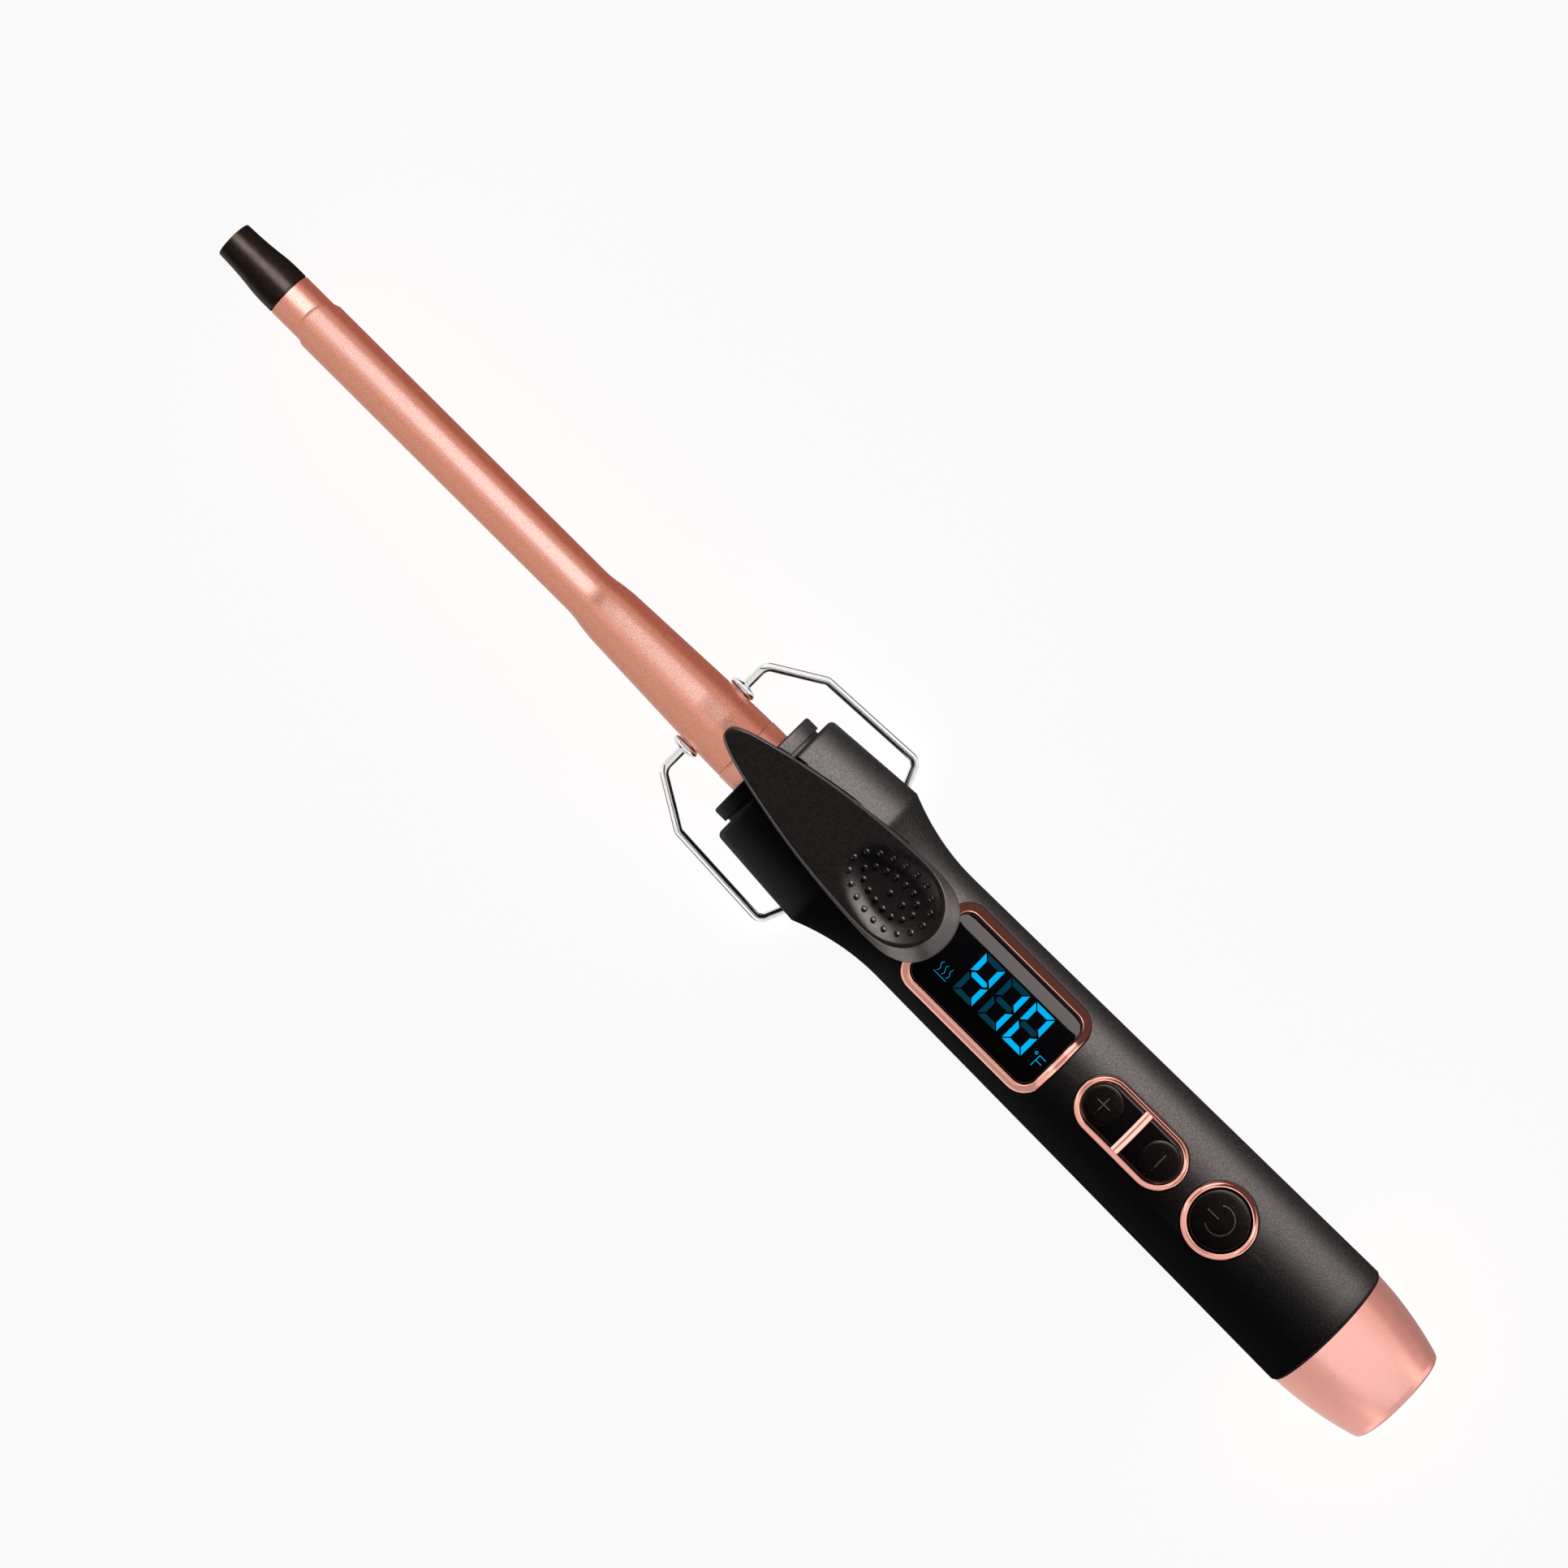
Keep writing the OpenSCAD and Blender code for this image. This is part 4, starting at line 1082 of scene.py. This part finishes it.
KEYS_PROFILE = band_profile(KEYS_BAND, 0.36)
piece(
    "keys_frame", *pad(keys_line, KEYS_PROFILE), bezel_gloss, "handle", "bezel_copper",
    ["button_bezel"], sharp=45,
)
DIVIDER_REACH = KEYS_W / 2 - KEYS_BAND / 2
divider = stroke(
    [(KEYS_X, -DIVIDER_REACH), (KEYS_X, DIVIDER_REACH)], width=1.7, low=-1.2, high=0.52,
    slope=0.36, step=0.4, shoulder=0.2,
)
piece("keys_divider", *divider, bezel_gloss, "handle", "bezel_copper", sharp=45)
PANEL_L, PANEL_W = KEYS_L - 2 * KEYS_BAND - 0.05, KEYS_W - 2 * KEYS_BAND - 0.05
floor_line = rrect(KEYS_X, PANEL_L, PANEL_W, KEYS_W / 2 - KEYS_BAND - 0.04, 16)
panel_low = [(0.3, -1.6), (0.0, -1.6), (0.0, -0.30), (0.5, -0.15)]
keys_panel = piece(
    "keys_panel", *pad(floor_line, panel_low, KEYS_X, 10), panel_gloss, "handle", "gloss_black",
    ["button_panel"],
)
for x in (PLUS_X, MINUS_X):
    cut(keys_panel, *prism(circle(x, KEY_R), grow=0.08))
finish_cut(keys_panel, panel_gloss)

KEY_PROFILE = [(0.0, -2.2), (0.0, -0.2), (0.06, 0.02), (0.2, 0.16), (0.42, 0.24), (0.7, 0.26)]
MARK, MARK_W = 1.6, 0.45  # half the length, and the width, of the plus's and minus's strokes
for word, x in (("plus", PLUS_X), ("minus", MINUS_X)):
    body = f"{word}_button"
    piece(
        f"{word}_key", *pad(circle(x, KEY_R), KEY_PROFILE, x, 8, 0.12), key_black, body,
        "key_black", [body],
    )
    # the strokes are raised; their light grey is painted highlight for the light they catch
    marks = [stroke([(x, -MARK), (x, MARK)], MARK_W, 0.0, 0.24)]
    if word == "plus":
        marks.append(stroke([(x - MARK, 0), (x + MARK, 0)], MARK_W, 0.0, 0.25))
    # a small raised light grey dot below the mark: a painted glint where the mark's end catches the
    # light
    marks.append(stroke([(x - 0.14, -2.3), (x + 0.14, -2.3)], 0.28, 0.0, 0.26, 0.06, 0.1))
    piece(f"{word}_mark", *merged(*marks), mark_painted_highlight, body, "key_black", sharp=40)

RING_PROFILE = band_profile(RING_W - 0.2, 0.38)
piece(
    "power_frame", *pad(power_line, RING_PROFILE), bezel_gloss, "handle", "bezel_copper",
    ["power_ring"], sharp=50,
)
piece(
    "power_key", *pad(circle(POWER_X, POWER_R), KEY_PROFILE, POWER_X, 10, 0.2), key_black,
    "power_button", "key_black", ["power_button"],
)
# the power mark's light grey is painted highlight, as on the other marks
power_mark = merged(
    stroke(arc(POWER_X, 0, 2.9, -129, 125), 0.42, -0.08, 0.17, 0.1, 0.4),
    stroke([(POWER_X - 3.3, 0), (POWER_X - 0.4, 0)], 0.42, -0.08, 0.17, 0.1, 0.4),
)
piece("power_mark", *power_mark, mark_painted_highlight, "power_button", "key_black", sharp=40)

# ---------- End cap and swivel ----------


def cap_r(x):
    """Radius of the end cap at x."""
    return 14.2 - (x - REAR_X) * 0.035 - ((x - REAR_X) / 19.3) ** 2 * 2.6


NECK_R = 6.0
SEAT_X = END_X - 7.8
CAP_X, CAP_BORE = REAR_X + 0.12, SPIGOT_R + 0.05
side_line = [CAP_X + (END_X - 1.6 - REAR_X) * k / 14 for k in range(15)]
cap_front = [
    (REAR_X + 3, CAP_BORE), (CAP_X, CAP_BORE, 0.1), (CAP_X, cap_r(REAR_X), 0.15),
    (REAR_X + 2, cap_r(REAR_X + 2)),
]
cap_rear = [
    (END_X - 1.4, cap_r(END_X - 1.4)), (END_X - 0.35, cap_r(END_X - 0.35) - 0.1, 0.5),
    (END_X, 10.35, 0.35), (END_X, NECK_R, 0.25), (SEAT_X, NECK_R),
]
cap_profile = (
    [(REAR_X + 6, CAP_BORE)] + fillet(cap_front) + [(x, cap_r(x)) for x in side_line[2:]]
    + fillet(cap_rear, 6) + [(SEAT_X, 10.2), (REAR_X + 6, 10.2), (REAR_X + 6, CAP_BORE)]
)
piece(
    "tail_cap", *lathe(cap_profile, 160), cap_satin, "handle", "cap_copper", ["end_cap"], sharp=40,
)
MOUTH = END_X - 0.5
gland_profile = fillet([
    (REAR_X - 1.5, 1.2), (REAR_X - 1.5, 4.0), (REAR_X + 6.2, 4.0), (REAR_X + 6.2, 9.9),
    (SEAT_X - 0.2, 9.9), (SEAT_X - 0.2, NECK_R - 0.05), (MOUTH, NECK_R - 0.05, 0.5),
    (MOUTH, 3.4, 0.3), (MOUTH - 0.8, 2.6, 0.3), (MOUTH - 12.8, 2.6), (MOUTH - 12.8, 1.2),
    (REAR_X - 1.5, 1.2),
])
piece(
    "cord_gland", *lathe(gland_profile, 96), key_black, "swivel", "key_black", ["swivel_gland"],
    sharp=35,
)

# ---------- Clamp's leaf spring ----------

FOOT = 5.8  # the spring's foot above the axis
LEAF_T, LEAF_W = 0.32, 2.6
leaf = [
    (6.2, FOOT + 0.2), (2.0, FOOT + 0.2), (-2.4, FOOT + 0.2), (-3.1, FOOT + 0.35),
    (-3.45, FOOT + 0.75), (-3.2, FOOT + 1.2), (-2.6, FOOT + 1.55), (2.0, 8.05),
    (6.7, lever_under(6.7) - 1.5),
]
rings = []
for i, (u, z) in enumerate(leaf):
    a, b = leaf[max(i - 1, 0)], leaf[min(i + 1, len(leaf) - 1)]
    d = Vector((b[0] - a[0], b[1] - a[1])).normalized()
    n = Vector((-d.y, d.x)) * (LEAF_T / 2)
    rings.append([
        (PIVOT_X + u + n.x * sn, LEAF_W / 2 * sy, z + n.y * sn)
        for sn, sy in ((-1, -1), (1, -1), (1, 1), (-1, 1))
    ])
spring = piece(
    "leaf_spring", *solid(rings), steel_plain, "handle", "steel", ["clamp_spring"], sharp=50,
)
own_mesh(spring)

# ---------- CAD nodes shown as they are ----------

SHOWN = {
    copper_satin: ["barrel_base"],
    soft_black: ["lower_shell"],
    steel_plain: [
        "spreader_upper", "spreader_lower", "lever_arm", "arm_rivets", "lever_screws",
        "shell_screws", "board_screws", "thermal_fuse",
    ],
    part_black: ["display_module", "tact_switches", "control_chip", "triac"],
    brass: ["brush_contacts", "contact_rings"],
    phenolic: ["barrel_holder", "brush_holder"],
    ceramic_white: ["heater_plate"],
    bead_green: ["thermistor"],
    sleeve_white: ["heater_leads"],
    sleeve_yellow: ["thermistor_leads"],
    sleeve_red: ["mains_wires"],
    board_green: ["circuit_board"],
    film_yellow: ["film_capacitor"],
}
SHARP_FROM, BEVEL_FROM, BEVEL = math.radians(32), math.radians(40), 0.12 * MM


def smoothing(limit):
    """A modifier's node group that shades faces smooth where they meet below that angle."""
    tree = bpy.data.node_groups.new("smooth_round_faces", "GeometryNodeTree")
    tree.interface.new_socket("Geometry", in_out="INPUT", socket_type="NodeSocketGeometry")
    tree.interface.new_socket("Geometry", in_out="OUTPUT", socket_type="NodeSocketGeometry")
    start, end = tree.nodes.new("NodeGroupInput"), tree.nodes.new("NodeGroupOutput")
    turn = tree.nodes.new("GeometryNodeInputMeshEdgeAngle")
    shallow = tree.nodes.new("FunctionNodeCompare")
    shallow.operation = "LESS_EQUAL"
    shallow.inputs[1].default_value = limit
    tree.links.new(turn.outputs["Unsigned Angle"], shallow.inputs[0])
    edges = tree.nodes.new("GeometryNodeSetShadeSmooth")
    edges.domain = "EDGE"
    faces = tree.nodes.new("GeometryNodeSetShadeSmooth")
    tree.links.new(start.outputs[0], edges.inputs["Geometry"])
    tree.links.new(shallow.outputs[0], edges.inputs["Shade Smooth"])
    tree.links.new(edges.outputs[0], faces.inputs["Geometry"])
    tree.links.new(faces.outputs[0], end.inputs[0])
    return tree


SMOOTHING = smoothing(SHARP_FROM)
for surface, name in ((surface, name) for surface, names in SHOWN.items() for name in names):
    node = frame["nodes"][name]
    node.data.materials.clear()
    node.data.materials.append(surface.mat)
    node.modifiers.new("smooth", "NODES").node_group = SMOOTHING
    edge = node.modifiers.new("edge", "BEVEL")
    edge.width = BEVEL
    edge.segments = 2
    edge.limit_method = "ANGLE"
    edge.angle_limit = BEVEL_FROM

# ---------- Floor, light and camera ----------

# The floor and the backdrop glow evenly and show to the camera alone, as a light table does.
GLOW = 0.93


def stage_piece(name, verts, faces):
    mesh = bpy.data.meshes.new(name)
    mesh.from_pydata(verts, [], faces)
    obj = bpy.data.objects.new(name, mesh)
    bpy.context.scene.collection.objects.link(obj)
    paper = Surface(name + "_paper", (0.93, 0.93, 0.93), 0.9).vary_rough(40, 0.05)
    mesh.materials.append(paper.glow((1, 1, 1), GLOW).mat)
    for kind in ("visible_glossy", "visible_diffuse", "visible_transmission", "visible_shadow"):
        setattr(obj, kind, False)


SIDE, DOME_R, DOME_DROP = 5.0, 4.8, 0.01  # metres
corners = [(-SIDE, -SIDE, 0), (SIDE, -SIDE, 0), (SIDE, SIDE, 0), (-SIDE, SIDE, 0)]
stage_piece("floor", corners, [(0, 1, 2, 3)])
dome_rings = []
for e in (math.radians(degrees) for degrees in range(0, 90, 6)):
    wide, high = DOME_R * math.cos(e), DOME_R * math.sin(e) - DOME_DROP
    dome_rings.append([(wide * c, wide * s, high) for c, s in around(48)])
stage_piece("backdrop", *loft(dome_rings, cap_end=True))

LIGHT_AT = 1.2  # metres from the barrel's axis
ACROSS, ALONG = Vector((0, 1, 0)), Vector((1, 0, 0))


def soft_box(pieces, name, side, start, end, radiance, colour=(1, 1, 1), ends=(-1.5, 1.5)):
    """A soft box that fills the directions from start to end, in degrees from straight up
    towards side, runs between those ends, and lights only those pieces."""
    middle, half = math.radians((start + end) / 2), math.radians((end - start) / 2)
    away = side * math.sin(middle) + Vector((0, 0, 1)) * math.cos(middle)
    level = side.cross(Vector((0, 0, 1)))
    data = bpy.data.lights.new(name, "AREA")
    data.shape = "RECTANGLE"
    data.size = ends[1] - ends[0]
    data.size_y = 2 * LIGHT_AT * math.tan(half)
    data.energy = radiance * math.pi * data.size * data.size_y
    data.color = colour
    lamp = bpy.data.objects.new(name, data)
    bpy.context.scene.collection.objects.link(lamp)
    turn = Matrix((level, away.cross(level), away)).transposed().to_4x4()
    place = Vector((0, 0, AXIS_Z)) + away * LIGHT_AT + level * sum(ends) / 2
    lamp.matrix_world = Matrix.Translation(place) @ turn
    lamp.visible_camera = False
    lit = bpy.data.collections.new(name + "_lit")
    for obj in pieces:
        lit.objects.link(obj)
    lamp.light_linking.receiver_collection = lit


def wearing(*surfaces):
    """Every piece whose material is one of these."""
    mats = {s.mat for s in surfaces}
    return [
        obj for obj in bpy.context.scene.objects
        if obj.type == "MESH" and obj.data.materials and obj.data.materials[0] in mats
    ]


BARREL = wearing(copper_satin)
CLAMP = [obj for obj in BARREL if obj.name == "spring_clamp"]
TUBE = [obj for obj in BARREL if obj.name != "spring_clamp"]
CAP = wearing(cap_satin)
BEZELS = [obj for obj in wearing(bezel_gloss) if obj.name != "keys_divider"]
DIVIDER = [bpy.data.objects["keys_divider"]]
CHROME = wearing(chrome_wire)
TIP = wearing(tip_black)
GLASS_PIECES = wearing(glass_black, panel_gloss)
BLACKS = wearing(soft_black, lever_black, grip_black, key_black, mark_painted_highlight)
SHELLS = wearing(soft_black)
LEVER = wearing(lever_black, grip_black)
INSIDES = wearing(*(surface for surface in SHOWN if surface not in (copper_satin, soft_black)))
WARM, RED, COOL = (1.0, 0.86, 0.84), (1.0, 0.58, 0.52), (0.74, 1.10, 1.42)
BLACK_LIGHT = (1.0, 0.90, 0.87)
PLAIN = (1, 1, 1)
# the pieces, and then the rest of each soft box's arguments
SOFT_BOXES = (
    (BLACKS + INSIDES, ("black_side", ACROSS, 48, 92, 4.4, BLACK_LIGHT, (-1.2, 0.32))),
    (LEVER, ("black_tail", ALONG, 62, 100, 2.6, (1.0, 0.93, 0.90), (-1.7, 0.5))),
    (SHELLS,
     ("black_left", ACROSS, -165, -90, 0.2, PLAIN, (-1.2, 0.0)),
     ("ridge_side", ACROSS, 30, 50, 4.4, BLACK_LIGHT, (-0.6, 0.14)),),
    (LEVER,
     ("lever_right", ACROSS, 66, 114, 2.8, BLACK_LIGHT),
     ("lever_left", ACROSS, -128, -80, 2.6, BLACK_LIGHT),),
    (GLASS_PIECES, ("glass_side", ACROSS, 47, 71, 3.3, BLACK_LIGHT)),
    (TIP,
     ("tip_top", ACROSS, 0, 34, 4.6, (1.0, 0.84, 0.74)),
     ("tip_left", ACROSS, -160, -105, 0.35, BLACK_LIGHT),),
    (BARREL,
     ("copper_under", ACROSS, -170, -100, 0.60), ("copper_low", ACROSS, -100, -36, 0.67),
     ("copper_near", ACROSS, -36, -12, 0.86),),
    (CLAMP,
     ("copper_top", ACROSS, -12, 44, 2.2, COOL, (-0.34, 1.5)),
     ("copper_rise", ACROSS, -12, 44, 0.5, PLAIN, (-1.5, -0.34)),),
    (TUBE, ("tube_top", ACROSS, -12, 44, 2.4, COOL)),
    (BARREL,
     ("copper_side", ACROSS, 44, 78, 0.66, WARM), ("copper_far", ACROSS, 78, 165, 0.40, RED),),
    (CAP,
     ("cap_under", ACROSS, -170, -100, 0.78), ("cap_low", ACROSS, -100, -46, 0.70),
     ("cap_top", ACROSS, -46, 50, 1.18, (0.93, 1.04, 1.09)), ("cap_side", ACROSS, 50, 76, 0.95),
     ("cap_right", ACROSS, 76, 108, 0.56, WARM), ("cap_far", ACROSS, 108, 165, 0.42, WARM),
     ("cap_back", ALONG, 56, 125, 0.8),),
    (BARREL,
     ("copper_front", ALONG, -125, -56, 0.25), ("copper_back", ALONG, 56, 125, 0.6),),
    (BEZELS,
     ("bezel_under", ACROSS, -170, -90, 0.95), ("bezel_low", ACROSS, -90, -52, 0.55),
     ("bezel_left", ACROSS, -52, -14, 0.95),
     ("bezel_top", ACROSS, -14, 14, 0.42, WARM, (-0.3, 0.3)),
     ("bezel_right", ACROSS, 14, 38, 0.85), ("bezel_far", ACROSS, 38, 165, 0.10, RED),
     ("bezel_front", ALONG, -75, -14, 1.25, PLAIN, (-0.5, 0.9)),
     ("bezel_back", ALONG, 14, 75, 1.25, PLAIN, (-0.9, 0.5)),),
    (DIVIDER,
     ("divider_top", ACROSS, -65, 65, 0.45), ("divider_front", ALONG, -75, -12, 1.2),
     ("divider_back", ALONG, 12, 75, 1.2),),
    (CHROME + INSIDES, ("chrome_left", ACROSS, -100, -38, 1.1)),
    (CHROME,
     ("chrome_top", ACROSS, -20, 12, 0.95), ("chrome_right", ACROSS, 24, 100, 1.1),
     ("chrome_under", ACROSS, 130, 235, 1.0), ("chrome_front", ALONG, -125, -58, 1.0),
     ("chrome_back", ALONG, 58, 125, 1.0),),
)
for pieces, *boxes in SOFT_BOXES:
    for box in boxes:
        soft_box(pieces, *box)

world = bpy.data.worlds.new("studio")
world.use_nodes = True
world.node_tree.nodes["Background"].inputs["Color"].default_value = (0.9, 0.9, 0.92, 1)
world.node_tree.nodes["Background"].inputs["Strength"].default_value = 0.02
bpy.context.scene.world = world
bpy.context.scene.view_settings.view_transform = "Standard"

CAMERA_X, CAMERA_Y, CAMERA_HEIGHT = -0.0089, 0.0004, 0.950
CAMERA_TURN = math.radians(44.86)
LENS = 113.2  # millimetres
camera_data = bpy.data.cameras.new("camera")
camera_data.lens = LENS
camera_data.sensor_width = 36
camera_data.clip_end = 20
camera = bpy.data.objects.new("camera", camera_data)
bpy.context.scene.collection.objects.link(camera)
camera.location = (CAMERA_X, CAMERA_Y, AXIS_Z + CAMERA_HEIGHT)
camera.rotation_euler = (0, 0, CAMERA_TURN)
bpy.context.scene.camera = camera

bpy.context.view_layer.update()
